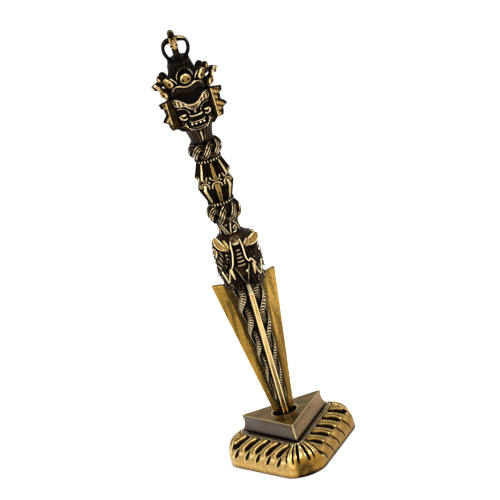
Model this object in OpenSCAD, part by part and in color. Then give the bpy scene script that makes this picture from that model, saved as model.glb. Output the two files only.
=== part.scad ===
// A three-flanged ritual dagger (phurba) standing in the socket of its triangular lotus stand.
// Millimetres, +Z up. The origin is on the dagger's axis, at the level of the table.
// The front is -Y: a corner of the stand, one flange, one makara head and one face point there.

/* [Stand] */
// Height of the plain band round the foot
foot_h = 4.5; // [3.5:0.1:7]
// Distance from the axis to the middle of a side of the foot
foot_apothem = 23; // [21:0.5:27]
// Radius of the foot's three round corners
foot_corner_r = 12; // [11.5:0.25:13]
// Radius of the quarter round that the petals lie on
skirt_r = 9.6; // [8.6:0.1:10.6]
// Height of the bead rim above the quarter round
rim_h = 1.3; // [1:0.1:2]
// Diameter of one bead of the rim
rim_bead_d = 1.2; // [0.9:0.1:1.2]
// Number of petals in each straight row
side_petals = 5; // [3:1:5]
// Width of one petal of a straight row
side_petal_w = 7.4; // [5:0.1:7.5]
// Number of petals in the fan round each corner
corner_petals = 5; // [3:1:5]
// Width of one petal of a corner fan where it is fullest
corner_petal_w = 4; // [3.4:0.1:4.1]
// How far the petals stand out from the skirt
petal_rise = 1.2; // [0.7:0.1:1.4]
// Angle between neighbouring petals of a fan
fan_step = 20; // [18:1:20]
// Height of the plinth above the bead rim
plinth_h = 7.6; // [6:0.2:10]
// Distance from the axis to a sharp top corner of the plinth
plinth_corner = 23.2; // [21:0.2:25]
// Depth of the hollow in the plinth's sides
plinth_hollow = 0.7; // [0.3:0.1:1]
// Diameter of the socket for the dagger's point
socket_d = 12; // [11.6:0.1:13]

/* [Blade] */
// Length of the blade that shows above the plinth
blade_out = 68.6; // [55:0.2:80]
// Distance from the axis to the outer edge at the flange's top
flange_reach = 18; // [16:0.2:20]
// Distance from the axis to the outer edge where it enters the socket
flange_reach_low = 5.2; // [4.4:0.1:5.4]
// Thickness of a flange
flange_t = 2.3; // [1.6:0.1:3]
// Radius of the blade's core at the top
core_r = 6; // [5:0.1:7]
// Radius of the blade's core at the plinth
core_r_low = 2; // [1.8:0.1:2.6]
// Thickness of one serpent at the top of the blade
serpent_d = 3.4; // [2.8:0.1:3.8]
// Turns that a pair of serpents makes along the blade
serpent_turns = 3; // [2:1:4]

/* [Makara] */
// Height of the makara block
makara_h = 27.8; // [25:0.2:31]
// Radius of the makara block at its foot
makara_r = 8.4; // [7.8:0.1:9]
// Height of the sloping shoulder above the makaras
shoulder_h = 4.2; // [3:0.1:6]
// Width of the trunk at its root
trunk_w = 7.4; // [6.4:0.1:8]
// Width of the trunk at its tip
trunk_w_high = 4.8; // [4:0.1:5.2]
// How far the front of the trunk stands out from the block's foot
trunk_out = 3.4; // [3:0.1:4]
// Number of ribs under the trunk
trunk_ribs = 8; // [5:1:9]
// Length of an ear
ear_l = 9; // [7:0.2:10]

/* [Grip] */
// Diameter of the tang that the sections are threaded on
tang_d = 4; // [3:0.1:5]
// Height of the collar above the makaras
collar_h = 6.2; // [5:0.2:8]
// Radius of the collar
collar_r = 5.3; // [5:0.1:6]
// Height of the lower knot
lower_knot_h = 8.2; // [7:0.2:10]
// Height of the upper knot
upper_knot_h = 7.8; // [7:0.2:10]
// Outer radius of a knot
knot_r = 8.2; // [7.6:0.1:9]
// Thickness of a knot's strand
strand_d = 2.2; // [1.8:0.1:2.6]
// Height of a bead ring
bead_ring_h = 2.3; // [2:0.1:2.6]
// Outer radius of a bead ring
bead_ring_r = 6.5; // [6.2:0.1:7]
// Height of the lower half of the grip
lower_grip_h = 9.3; // [8:0.2:12]
// Height of the upper half of the grip
upper_grip_h = 9.9; // [8:0.2:12]
// Outer radius of the grip's petals
grip_r = 8.7; // [8.2:0.1:9.4]
// Outer radius of the grip's petals at the ends
grip_end_r = 6.1; // [5.8:0.1:6.4]
// How far the petals stand out from the grip's core
grip_petal_t = 1.3; // [0.9:0.1:1.6]
// Height of the waist between the halves of the grip
waist_h = 2.1; // [1.8:0.1:2.6]
// Outer radius of the waist's beads
waist_r = 7.4; // [7:0.1:8]

/* [Head] */
// Height of the neck
neck_h = 8.7; // [7:0.2:11]
// Radius of the neck at its foot
neck_r = 5.4; // [5:0.1:6]
// How much wider the neck is under the chin
neck_flare = 1.8; // [1.4:0.1:2.2]
// Height of the head from chin to headband
head_h = 24; // [22:0.5:27]
// Radius of the head behind the faces
head_r = 8.8; // [8:0.1:9.2]
// Length of an ear flame, outwards from the head
flame_out = 9.4; // [7:0.2:11]
// Height of the ear flames
flame_h = 15.5; // [13:0.5:18]
// Thickness of an ear flame
flame_t = 3; // [2:0.1:4]

/* [Face] */
// How far a cheek stands out from the head
face_out = 1.6; // [1.4:0.1:2]
// Radius of the cheeks and temples
cheek_r = 4.4; // [4:0.1:4.8]
// Distance from the middle of the face to the middle of a cheek
cheek_side = 3.9; // [3.5:0.1:4.2]
// Height of the cheeks above the foot of the head
cheek_z = 9.6; // [8.6:0.2:10.6]
// How far the temples are below the top of the head
temple_drop = 7; // [6:0.2:7.8]
// Radius of the chin
chin_r = 3; // [2.6:0.1:3.4]
// How far a nose stands out from the cheeks
nose_out = 1.8; // [1.4:0.1:2.4]
// Height of the nostrils above the foot of the head
nostril_z = 9.6; // [9:0.1:10.4]
// Length of a nose
nose_l = 3.6; // [3.2:0.1:3.8]
// Radius of a nostril
nostril_r = 1.2; // [1:0.1:1.4]
// Diameter of an eye
eye_d = 3.2; // [2.8:0.1:3.6]
// Distance between the middles of the eyes
eye_pitch = 9.2; // [8.6:0.1:10]
// Height of the eyes above the foot of the head
eye_z = 11.3; // [10.8:0.1:11.8]
// Height of the brows at the root of the nose
brow_z = 14.4; // [14:0.1:15]
// How much higher a brow is at its outer end
brow_rise = 2.9; // [2.4:0.1:3.4]
// Distance from the middle of the face to the outer end of a brow
brow_l = 7; // [6.4:0.1:7.6]
// Radius of a brow at its outer end
brow_r = 1.5; // [1.2:0.1:1.8]
// Height of the middle of the mouth
mouth_z = 5.8; // [5.4:0.1:6.2]
// Width of the mouth
mouth_w = 6.8; // [6:0.1:7.6]
// Distance from the middle of the mouth to a lip
lip_gap = 1.9; // [1.7:0.1:2.2]
// Radius of a lip
lip_r = 0.7; // [0.5:0.05:0.9]
// Width of a tooth
tooth_w = 1.2; // [1:0.05:1.3]

/* [Crown] */
// Radius of a cord of the headband
band_r = 0.6; // [0.4:0.05:0.7]
// Depth of the headband below the top of the head
band_drop = 2.2; // [2:0.1:2.8]
// Width of a crown skull
skull_w = 5.4; // [4.6:0.1:5.8]
// How far the face of an upper skull stands out from the head
crown_out = 3.8; // [3.2:0.1:4.4]
// How much further out the lower skulls stand
lower_skull_out = 1.9; // [1.5:0.1:2.4]
// Height of the upper skulls above the head
upper_skull_z = 4.6; // [4.4:0.1:5.2]
// Depth of the lower skulls below the top of the head
lower_skull_drop = 1.8; // [1.4:0.1:2.2]
// Height of a leaf behind a skull
leaf_h = 10.4; // [9:0.2:12]
// How far a leaf stands above the middle of its skull
leaf_rise = 6.4; // [5.6:0.1:7]

/* [Finial] */
// Height of the topknot
topknot_h = 10.8; // [9:0.2:13]
// Radius of the topknot at its top
topknot_r = 5.4; // [5:0.1:6]
// Height of the half vajra
vajra_h = 15.1; // [13:0.1:18]
// Distance from the axis to the outside of a prong
prong_reach = 7.1; // [6.6:0.1:7.6]
// Thickness of a prong
prong_d = 1.8; // [1.4:0.1:2.1]
// Thickness of the central prong
central_d = 3.9; // [3.2:0.1:4.2]

/* [Hidden] */
$fn = 64;
front = -90;

// Running clearances
seat_gap = 0.3;
tang_gap = 0.05;

// Heights of the seats, from the table up
skirt_z = foot_h;
rim_z = skirt_z + skirt_r;
plinth_z = rim_z + rim_h;
stand_h = plinth_z + plinth_h;
tip_z = foot_h + seat_gap;
makara_z = stand_h + blade_out;
collar_z = makara_z + makara_h;
lower_knot_z = collar_z + collar_h;
lower_bead_z = lower_knot_z + lower_knot_h;
lower_grip_z = lower_bead_z + bead_ring_h;
waist_z = lower_grip_z + lower_grip_h;
upper_grip_z = waist_z + waist_h;
upper_bead_z = upper_grip_z + upper_grip_h;
upper_knot_z = upper_bead_z + bead_ring_h;
neck_z = upper_knot_z + upper_knot_h;
head_z = neck_z + neck_h;
topknot_z = head_z + head_h;
vajra_z = topknot_z + topknot_h;
vajra_foot_h = 2.6;
tang_top = vajra_z + vajra_foot_h / 2;

// The stand's outline: a triangle of corner centres, with a distance round it
centre_apothem = foot_apothem - foot_corner_r;
centre_corner = 2 * centre_apothem;
half_side = centre_corner * sin(60);
rim_out = foot_corner_r - skirt_r;
corners = [for (i = [0:2]) centre_corner * [cos(front + 120 * i), sin(front + 120 * i)]];

// Slope of the flange's outer edge, in millimetres out for each millimetre up
flange_slope = (flange_reach - flange_reach_low) / blade_out;
tip_reach = flange_reach_low - flange_slope * (stand_h - tip_z);

tang_r = tang_d / 2;
bore_r = tang_r + tang_gap;

// Distances from the axis to the fronts of the ornaments
trunk_reach = makara_r + trunk_out;
face_reach = head_r + face_out;
nose_reach = face_reach + nose_out;
crown_reach = head_r + crown_out;

brass = "goldenrod";
bright = "gold";
dark = "saddlebrown";

// Copies of a piece, evenly round the axis from the front
module around(n, start = 0) {
    for (i = [0:n - 1])
        rotate([0, 0, front + start + i * 360 / n])
            children();
}

// Points of a swelling outline: a parabola through three radii over a height
function swell(h, low, mid, high, steps = 12) =
    [for (i = [0:steps])
        let (t = i / steps)
        [low + (high - low) * t + (4 * mid - 2 * low - 2 * high) * t * (1 - t), h * t]];

// A turned section with the tang's bore through it, or a solid one for cutting a seat
module turned(h, low, mid, high, hole = bore_r) {
    rotate_extrude()
        polygon(concat([[hole, 0]], swell(h, low, mid, high), [[hole, h]]));
}

// The stand's outline: round corners of a radius, joined by straight sides
module stand_outline(r) {
    polygon([for (i = [0:2], s = [-60, 60])
        corners[i] + r * [cos(front + 120 * i + s), sin(front + 120 * i + s)]]);
    for (c = corners)
        translate(c)
            circle(r);
}

module socket() {
    translate([0, 0, foot_h])
        cylinder(h = stand_h, d = socket_d);
}

module foot() {
    edge_r = 0.5;
    color(brass)
        hull() {
            linear_extrude(foot_h)
                stand_outline(foot_corner_r - edge_r);
            translate([0, 0, edge_r])
                linear_extrude(foot_h - 2 * edge_r)
                    stand_outline(foot_corner_r);
        }
}

// One corner of the skirt: a quarter round turned about the corner's centre
module corner_dome() {
    r = skirt_r - petal_rise;
    rotate_extrude()
        polygon(concat([[0, 0]],
                       [for (a = [0:7.5:90]) [rim_out + r * cos(a), r * sin(a)]],
                       [[0, r]]));
}

module lotus_skirt() {
    color(dark)
        difference() {
            union() {
                hull()
                    for (c = corners)
                        translate([c.x, c.y, skirt_z])
                            corner_dome($fn = 48);
                translate([0, 0, skirt_z])
                    linear_extrude(skirt_r)
                        stand_outline(rim_out);
            }
            socket();
        }
}

// One petal: a rib that follows the quarter round from the foot to the rim
module petal(w) {
    r = w / 2;
    translate([rim_out, 0, skirt_z])
        rotate([90, 0, 0])
            rotate_extrude(angle = 90)
                translate([skirt_r - r, 0])
                    circle(r);
}

// A straight row of petals on the side that faces an angle from the front
module petal_row(side) {
    step = 2 * half_side / side_petals;
    color(bright)
        rotate([0, 0, front + side])
            difference() {
                for (i = [0:side_petals - 1])
                    translate([centre_apothem, (i + 0.5) * step - half_side, 0])
                        petal(side_petal_w);
                translate([centre_apothem + rim_out, 0, skirt_z])
                    rotate([90, 0, 0])
                        cylinder(h = 3 * half_side, r = skirt_r - petal_rise, center = true);
            }
}

// A fan of petals round the corner at an angle from the front
module petal_fan(side) {
    color(bright)
        rotate([0, 0, front + side])
            translate([centre_corner, 0, 0])
                difference() {
                    for (i = [0:corner_petals - 1])
                        rotate([0, 0, (i - (corner_petals - 1) / 2) * fan_step])
                            petal(corner_petal_w);
                    translate([0, 0, skirt_z])
                        corner_dome();
                }
}

module petals_right() {
    petal_row(60);
}

module petals_back() {
    petal_row(180);
}

module petals_left() {
    petal_row(-60);
}

module petals_front_corner() {
    petal_fan(0);
}

module petals_right_corner() {
    petal_fan(120);
}

module petals_left_corner() {
    petal_fan(-120);
}

// The rim: a flat fillet with a row of beads on its outside
module bead_rim() {
    r = rim_bead_d / 2;
    fillet = rim_out - r;
    beads = floor(2 * half_side / rim_bead_d / 1.15);
    corner_beads = 3;
    color(bright)
        translate([0, 0, rim_z])
            difference() {
                union() {
                    linear_extrude(rim_h)
                        hull()
                            for (c = corners)
                                translate(c)
                                    circle(fillet, $fn = 32);
                    translate([0, 0, rim_h / 2]) {
                        around(3, 60)
                            for (i = [0:beads - 1])
                                translate([centre_apothem + fillet,
                                           (i + 0.5) * 2 * half_side / beads - half_side, 0])
                                    sphere(r, $fn = 24);
                        around(3)
                            translate([centre_corner, 0, 0])
                                for (i = [0:corner_beads - 1])
                                    rotate([0, 0, (i + 0.5) * 120 / corner_beads - 60])
                                        translate([fillet, 0, 0])
                                            sphere(r, $fn = 24);
                    }
                }
                translate([0, 0, -1])
                    cylinder(h = rim_h + 2, d = socket_d);
            }
}

// A long prism whose outline, seen from its end, is one hollowed side of the plinth
module plinth_side() {
    apothem = plinth_corner / 2;
    long = 2 * plinth_corner;
    bow_r = (plinth_h * plinth_h / 4 + plinth_hollow * plinth_hollow) / (2 * plinth_hollow);
    translate([0, long, 0])
        rotate([90, 0, 0])
            linear_extrude(2 * long)
                difference() {
                    translate([-long, 0])
                        square([long + apothem, plinth_h]);
                    translate([apothem + bow_r - plinth_hollow, plinth_h / 2])
                        circle(bow_r, $fn = 180);
                }
}

module plinth() {
    color(brass)
        difference() {
            translate([0, 0, plinth_z])
                intersection() {
                    rotate([0, 0, front + 60])
                        plinth_side();
                    rotate([0, 0, front + 180])
                        plinth_side();
                    rotate([0, 0, front - 60])
                        plinth_side();
                }
            socket();
        }
}

// The core and the tang above it, turned as one bar
module blade_core() {
    color(dark)
        rotate_extrude()
            polygon([[0, tip_z], [tip_reach * 0.7, tip_z], [core_r_low, stand_h],
                     [core_r, makara_z], [tang_r, makara_z], [tang_r, tang_top], [0, tang_top]]);
}

// Outer distance of the core at a height on the blade
function core_at(z) = core_r_low + (core_r - core_r_low) * (z - stand_h) / blade_out;

// A tapering plate that meets the core, turned from the front to its own side
module flange(side) {
    color(bright)
        rotate([0, 0, side])
            difference() {
                rotate([0, 0, front])
                    translate([0, flange_t / 2, 0])
                        rotate([90, 0, 0])
                            linear_extrude(flange_t)
                                polygon([[0, tip_z], [tip_reach, tip_z],
                                         [flange_reach, makara_z], [0, makara_z]]);
                blade_core();
            }
}

module flange_front() {
    flange(0);
}

module flange_right() {
    flange(120);
}

module flange_left() {
    flange(-120);
}

// A tube through the points of an open path, with level rings and a radius at each point
module level_tube(path, radii, sides) {
    n = len(path);
    points = [for (i = [0:n - 1], k = [0:sides - 1])
        path[i] + radii[i] * [cos(k * 360 / sides), sin(k * 360 / sides), 0]];
    walls = [for (i = [0:n - 2], k = [0:sides - 1], half = [0, 1])
        let (a = i * sides + k, b = i * sides + (k + 1) % sides)
        half == 0 ? [a, b + sides, b] : [a, a + sides, b + sides]];
    polyhedron(concat(points), concat(walls, [[for (k = [0:sides - 1]) k]],
        [[for (k = [0:sides - 1]) n * sides - 1 - k]]), convexity = 8);
}

// One serpent of a pair: it winds round the middle of a hollow and thins downwards
module serpent(phase) {
    rings = 40;
    low = stand_h + 0.12 * blade_out;
    high = makara_z;
    path = [for (i = [0:rings])
        let (t = i / rings, z = low + (high - low) * t, turn = 360 * serpent_turns * t + phase,
             r = serpent_d / 2 * (0.35 + 0.65 * t))
        [core_at(z) + r * (0.55 + 0.45 * cos(turn)), r * 1.1 * sin(turn), z]];
    radii = [for (i = [0:rings]) serpent_d / 2 * (0.35 + 0.65 * i / rings)];
    level_tube(path, radii, 7);
}

module serpents(side) {
    color(dark)
        difference() {
            rotate([0, 0, front + side])
                union() {
                    serpent(0);
                    serpent(180);
                }
            blade_core();
        }
}

module serpents_right() {
    serpents(60);
}

module serpents_back() {
    serpents(180);
}

module serpents_left() {
    serpents(-60);
}

// The block swells upwards and ends in a sloping shoulder under the collar
module makara_block(hole) {
    body_h = makara_h - shoulder_h;
    translate([0, 0, makara_z])
        rotate_extrude()
            polygon(concat([[hole, 0]], swell(body_h, makara_r, makara_r + 0.9, makara_r + 1.2),
                           [[collar_r, makara_h], [hole, makara_h]]));
}

module makara_body() {
    color(dark)
        makara_block(bore_r);
}

// A head: the ribbed snout turned up between two lips, with a round nub at its tip
module makara_head(side) {
    root_z = makara_z + 0.42 * makara_h;
    tip_z = makara_z + 0.9 * makara_h;
    lip_r = 0.7;
    back = makara_r - 2;
    rib_pitch = (tip_z - root_z - 3) / trunk_ribs;
    color(brass)
        difference() {
            rotate([0, 0, front + side]) {
                hull() {
                    translate([back, -trunk_w / 2, makara_z + 0.2 * makara_h])
                        cube([trunk_reach - back - 1, trunk_w, 1]);
                    translate([back - 1, -trunk_w_high / 2, tip_z - 2])
                        cube([trunk_reach - back, trunk_w_high, 1]);
                }
                for (i = [0:trunk_ribs - 1])
                    translate([trunk_reach - 1.2, 0, root_z + (i + 0.5) * rib_pitch])
                        rotate([90, 0, 0])
                            cylinder(h = trunk_w_high - 1, r = rib_pitch / 2, center = true,
                                     $fn = 24);
                for (s = [-1, 1])
                    hull() {
                        translate([trunk_reach - lip_r, s * trunk_w / 2, root_z - 3])
                            sphere(lip_r, $fn = 16);
                        translate([trunk_reach - lip_r - 0.4, s * trunk_w_high / 2, tip_z - 2])
                            sphere(lip_r, $fn = 16);
                    }
                translate([trunk_reach - 2, 0, tip_z])
                    sphere(trunk_w_high / 2);
            }
            makara_block(0);
        }
}

module makara_head_front() {
    makara_head(0);
}

module makara_head_right() {
    makara_head(120);
}

module makara_head_left() {
    makara_head(-120);
}

// A leaf shape: two arcs that meet in a point at both ends, as long as asked
module leaf_outline(l, w) {
    r = (l * l / 4 + w * w / 4) / w;
    intersection() {
        translate([0, w / 2 - r])
            circle(r);
        translate([0, r - w / 2])
            circle(r);
    }
}

// A leaf standing on the line x = 0, its face outwards, leaning out at the top
module standing_leaf(h, w, t, lean) {
    rotate([0, lean, 0])
        translate([0, 0, h / 2])
            rotate([0, 90, 0])
                linear_extrude(t)
                    leaf_outline(h, w);
}

module makara_ears() {
    color(brass)
        difference() {
            around(3)
                for (s = [-1, 1])
                    rotate([0, 0, 42 * s])
                        translate([makara_r - 0.2, 0, makara_z + 0.64 * makara_h])
                            standing_leaf(ear_l, ear_l * 0.5, 2.2, 10);
            makara_block(0);
        }
}

// Two curved tusks at each mouth
module makara_tusks() {
    tusk_r = 0.9;
    curve = 3;
    color(bright)
        difference() {
            around(3)
                for (s = [-1, 1])
                    translate([makara_r + 0.6, s * (trunk_w / 2 + 1), makara_z + 0.13 * makara_h])
                        rotate([0, 0, s * 20])
                            rotate([90, 0, 0])
                                rotate_extrude(angle = 150)
                                    translate([curve / 2, 0])
                                        circle(tusk_r);
            makara_block(0);
            around(3)
                translate([0, -trunk_w / 2, makara_z])
                    cube([trunk_reach, trunk_w, makara_h]);
        }
}

// A round boss with a button in its middle, standing out along the x axis
module boss(r, h, button_r, button_h) {
    rotate([0, 90, 0]) {
        cylinder(h = h, r = r, $fn = 32);
        cylinder(h = button_h, r = button_r, $fn = 32);
    }
}

module makara_eyes() {
    color(bright)
        difference() {
            around(3)
                for (s = [-1, 1])
                    rotate([0, 0, 38 * s])
                        translate([makara_r - 0.6, 0, makara_z + 0.56 * makara_h])
                            boss(1.5, 2.3, 0.8, 2.8);
            makara_block(0);
        }
}

// Mane curls in two rows between the heads
module makara_curls() {
    color(dark)
        difference() {
            around(3, 60)
                for (s = [-1, 1], level = [0, 1])
                    rotate([0, 0, s * 14.5])
                        translate([makara_r - 1, 0, makara_z + (0.21 + 0.21 * level) * makara_h])
                            boss(1.9, 2.6, 0.9, 3.4);
            makara_block(0);
        }
}

module collar() {
    color(dark)
        translate([0, 0, collar_z])
            turned(collar_h, collar_r, collar_r - 0.4, collar_r);
}

// A closed cord round the axis: at each angle a distance, a height and the cord's radius
module cord_loop(path, r, sides) {
    n = len(path);
    points = [for (i = [0:n - 1], k = [0:sides - 1])
        let (a = path[i][0], d = path[i][1] + r * cos(k * 360 / sides))
        [d * cos(a), d * sin(a), path[i][2] + r * sin(k * 360 / sides)]];
    walls = [for (i = [0:n - 1], k = [0:sides - 1], half = [0, 1])
        let (a = i * sides + k, b = i * sides + (k + 1) % sides,
             c = ((i + 1) % n) * sides + k, d = ((i + 1) % n) * sides + (k + 1) % sides)
        half == 0 ? [a, d, b] : [a, c, d]];
    polyhedron(points, walls, convexity = 8);
}

// A solid of rows and columns round the axis: its radius is a function of the angle and height
module relief(h, rows, columns, radius) {
    points = [for (i = [0:rows], k = [0:columns - 1])
        let (a = k * 360 / columns, z = i * h / rows, r = radius(a, z))
        [r * cos(a + front), r * sin(a + front), z]];
    walls = [for (i = [0:rows - 1], k = [0:columns - 1], half = [0, 1])
        let (a = i * columns + k, b = i * columns + (k + 1) % columns)
        half == 0 ? [a, b + columns, b] : [a, a + columns, b + columns]];
    low = [[for (k = [0:columns - 1]) k]];
    high = [[for (k = [0:columns - 1]) (rows + 1) * columns - 1 - k]];
    polyhedron(points, concat(walls, low, high), convexity = 8);
}

// A knot of two wavy cords that cross in turn. At each point the higher cord shows: its section
// is round, and it rides outwards where it passes over the other.
module knot(z, h) {
    waves = 5;
    r = strand_d / 2;
    swing = h / 2 - r;
    ride = 0.5;
    core = knot_r - r - ride;
    steep = waves * swing / core;
    cord = function (a, z, phase)
        let (w = waves * a + phase,
             off = (z - h / 2 - swing * sin(w)) / sqrt(1 + pow(steep * cos(w), 2)))
        abs(off) < r ? core + sqrt(r * r - off * off) + ride * cos(w) : 0;
    spindle = function (z) core - 0.3 - (core - 0.3 - collar_r) * pow(2 * z / h - 1, 4);
    radius = function (a, z) max(spindle(z), cord(a, z, 0), cord(a, z, 180));
    color(brass)
        translate([0, 0, z])
            difference() {
                relief(h, 14, 70, radius);
                translate([0, 0, -1])
                    cylinder(h = h + 2, r = bore_r);
            }
}

module lower_knot() {
    knot(lower_knot_z, lower_knot_h);
}

module upper_knot() {
    knot(upper_knot_z, upper_knot_h);
}

// A disc with a row of beads round it
module bead_ring(z, h, reach, core, beads) {
    bead_r = min(h / 2, reach * sin(180 / beads) * 0.95);
    color(bright)
        translate([0, 0, z])
            union() {
                turned(h, core, core, core);
                around(beads)
                    translate([reach - bead_r, 0, h / 2])
                        sphere(bead_r, $fn = 32);
            }
}

module lower_bead_ring() {
    bead_ring(lower_bead_z, bead_ring_h, bead_ring_r, bead_ring_r - 1, 20);
}

module upper_bead_ring() {
    bead_ring(upper_bead_z, bead_ring_h, bead_ring_r, bead_ring_r - 1, 20);
}

module waist_ring() {
    bead_ring(waist_z, waist_h, waist_r, waist_r - 1, 24);
}

// One half of the grip, its wide end level with the waist's beads
module grip_core(z, h, low, high) {
    color(dark)
        translate([0, 0, z])
            turned(h, low - grip_petal_t, grip_r - grip_petal_t, high - grip_petal_t);
}

module grip_petals(z, h, low, high) {
    petals = 8;
    leaf_w = 2 * grip_r * sin(180 / petals) * 0.86;
    color(bright)
        difference() {
            intersection() {
                translate([0, 0, z])
                    turned(h, low, grip_r, high);
                around(petals)
                    translate([0, 0, z + h / 2])
                        rotate([0, 90, 0])
                            linear_extrude(grip_r + 1)
                                leaf_outline(h * 1.35, leaf_w);
            }
            grip_core(z, h, low, high);
        }
}

module lower_grip_core() {
    grip_core(lower_grip_z, lower_grip_h, grip_end_r, waist_r);
}

module lower_grip_petals() {
    grip_petals(lower_grip_z, lower_grip_h, grip_end_r, waist_r);
}

module upper_grip_core() {
    grip_core(upper_grip_z, upper_grip_h, waist_r, grip_end_r);
}

module upper_grip_petals() {
    grip_petals(upper_grip_z, upper_grip_h, waist_r, grip_end_r);
}

module neck() {
    color(dark)
        translate([0, 0, neck_z])
            turned(neck_h, neck_r, neck_r + 0.2, neck_r + neck_flare);
}

module head_block(hole) {
    translate([0, 0, head_z])
        turned(head_h, neck_r + neck_flare, head_r + 0.6, head_r, hole);
}

module head_core() {
    color(dark)
        head_block(bore_r);
}

// A face: a broad mask, round at the cheeks and narrower at the chin
module face(side) {
    color(brass)
        difference() {
            rotate([0, 0, front + side])
                translate([0, 0, head_z])
                    hull() {
                        for (s = [-1, 1], z = [cheek_z, head_h - temple_drop])
                            translate([face_reach - cheek_r, s * cheek_side, z])
                                sphere(cheek_r, $fn = 20);
                        translate([face_reach - chin_r, 0, chin_r])
                            sphere(chin_r, $fn = 20);
                    }
            head_block(0);
        }
}

module face_front() {
    face(0);
}

module face_right() {
    face(120);
}

module face_left() {
    face(-120);
}

// A piece carried by each of the three faces and cut where it sinks into the face
module on_faces() {
    for (side = [0, 120, -120])
        difference() {
            rotate([0, 0, front + side])
                translate([0, 0, head_z])
                    children();
            face(side);
            head_block(0);
        }
}

// Two brows that sweep up and outwards from the root of the nose
module brows() {
    root_r = 1.1;
    color(bright)
        on_faces()
            for (s = [-1, 1])
                hull() {
                    translate([face_reach - root_r / 2, s * root_r * 0.7, brow_z])
                        sphere(root_r, $fn = 16);
                    translate([face_reach - brow_r, s * brow_l, brow_z + brow_rise])
                        sphere(brow_r, $fn = 16);
                }
}

module eyes() {
    color(bright)
        on_faces()
            for (s = [-1, 1])
                translate([face_reach - 0.56 * eye_d / 2, s * eye_pitch / 2, eye_z])
                    sphere(eye_d / 2, $fn = 32);
}

// A nose: its bridge, and the two nostrils at its foot
module noses() {
    color(bright)
        on_faces()
            hull() {
                translate([nose_reach - nose_out - nostril_r, 0, nostril_z + nose_l])
                    sphere(nostril_r, $fn = 16);
                for (s = [-1, 1])
                    translate([nose_reach - nostril_r, s * nostril_r * 1.3, nostril_z])
                        sphere(nostril_r, $fn = 16);
            }
}

// A mouth: two lips and a row of four teeth between them
module mouths() {
    tooth_h = 1.5;
    color(bright)
        on_faces() {
            for (s = [-1.5:1:1.5])
                translate([face_reach - tooth_h * 0.7, (s - 0.5) * tooth_w * 1.1,
                           mouth_z - tooth_h])
                    cube([1.8, tooth_w, tooth_h]);
            for (s = [-1, 1])
                translate([face_reach - lip_r * 0.6, -mouth_w / 2, mouth_z + s * lip_gap])
                    rotate([-90, 0, 0])
                        cylinder(h = mouth_w, r = lip_r, $fn = 24);
        }
}

// Two wavy cords round the brow, which dip over each nose and end at the lower skulls
module headband() {
    steps = 90;
    reach = head_r + band_r + seat_gap;
    gap = skull_w + 2 * seat_gap;
    color(bright)
        difference() {
            for (row = [0, 1])
                cord_loop([for (i = [0:steps - 1])
                    let (a = i * 360 / steps)
                    [a + front, reach,
                     topknot_z - band_drop + row * 1.9 * band_r + 0.7 * cos(3 * a) - cos(6 * a)]],
                    band_r, 6);
            around(3, 60)
                translate([head_r, -gap / 2, topknot_z - 2 * lower_skull_drop - skull_w])
                    cube([skull_w, gap, 2 * skull_w + 2 * lower_skull_drop]);
        }
}

// A fin of flame points between two faces, seen edge on in the hollow behind the ears
module ear_flames() {
    foot = head_r - 1;
    tips = [[0.34, 0.03], [0.47, 0.26], [1, 0.42], [0.57, 0.52], [0.68, 0.71], [0.84, 1],
            [0.47, 0.93]];
    color(brass)
        difference() {
            around(3, 60)
                translate([0, flame_t / 2, head_z])
                    rotate([90, 0, 0])
                        linear_extrude(flame_t)
                            polygon(concat([[foot, 0]],
                                [for (t = tips) [head_r + t.x * flame_out, t.y * flame_h]],
                                [[foot, 0.9 * flame_h]]));
            head_block(0);
            face_front();
            face_right();
            face_left();
        }
}

// A skull: a round cranium on a narrower jaw, with two eye pits
module skull() {
    r = skull_w / 2;
    difference() {
        union() {
            sphere(r);
            translate([0.1 * r, 0, -0.85 * r])
                sphere(0.6 * r);
        }
        for (s = [-1, 1])
            translate([0.95 * r, s * 0.4 * r, -0.1 * r])
                sphere(0.25 * r, $fn = 24);
    }
}

// The nine places of the upper skulls and the three lower ones between the faces
module crown_places() {
    lean = 18;
    for (a = [0, 40, -40])
        around(3, a)
            translate([crown_reach - skull_w / 2, 0, topknot_z + upper_skull_z])
                rotate([0, lean, 0])
                    children();
    around(3, 60)
        translate([crown_reach + lower_skull_out - skull_w / 2, 0,
                   topknot_z - lower_skull_drop])
            rotate([0, 1.6 * lean, 0])
                children();
}

// The leaf that a skull is set on, standing a little above it
module skull_leaf() {
    t = skull_w / 2 - 0.6;
    translate([-skull_w / 2, 0, leaf_rise - leaf_h])
        standing_leaf(leaf_h, leaf_h * 0.4, t, 0);
}

module crown_skulls() {
    color(bright)
        difference() {
            crown_places()
                difference() {
                    skull();
                    skull_leaf();
                }
            topknot_block(0);
            head_block(0);
        }
}

module crown_leaves() {
    color(brass)
        difference() {
            crown_places()
                skull_leaf();
            topknot_block(0);
            head_block(0);
        }
}

module topknot_block(hole) {
    translate([0, 0, topknot_z])
        turned(topknot_h, head_r, topknot_r + 0.6, topknot_r, hole);
}

module topknot() {
    color(dark)
        topknot_block(bore_r);
}

module vajra_base() {
    color(dark)
        translate([0, 0, vajra_z])
            difference() {
                rotate_extrude()
                    polygon(concat([[0, 0]],
                        swell(vajra_foot_h, topknot_r, topknot_r + 0.3, topknot_r - 1),
                        [[0, vajra_foot_h]]));
                translate([0, 0, -1])
                    cylinder(h = 1 + tang_top - vajra_z, r = bore_r);
            }
}

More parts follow.
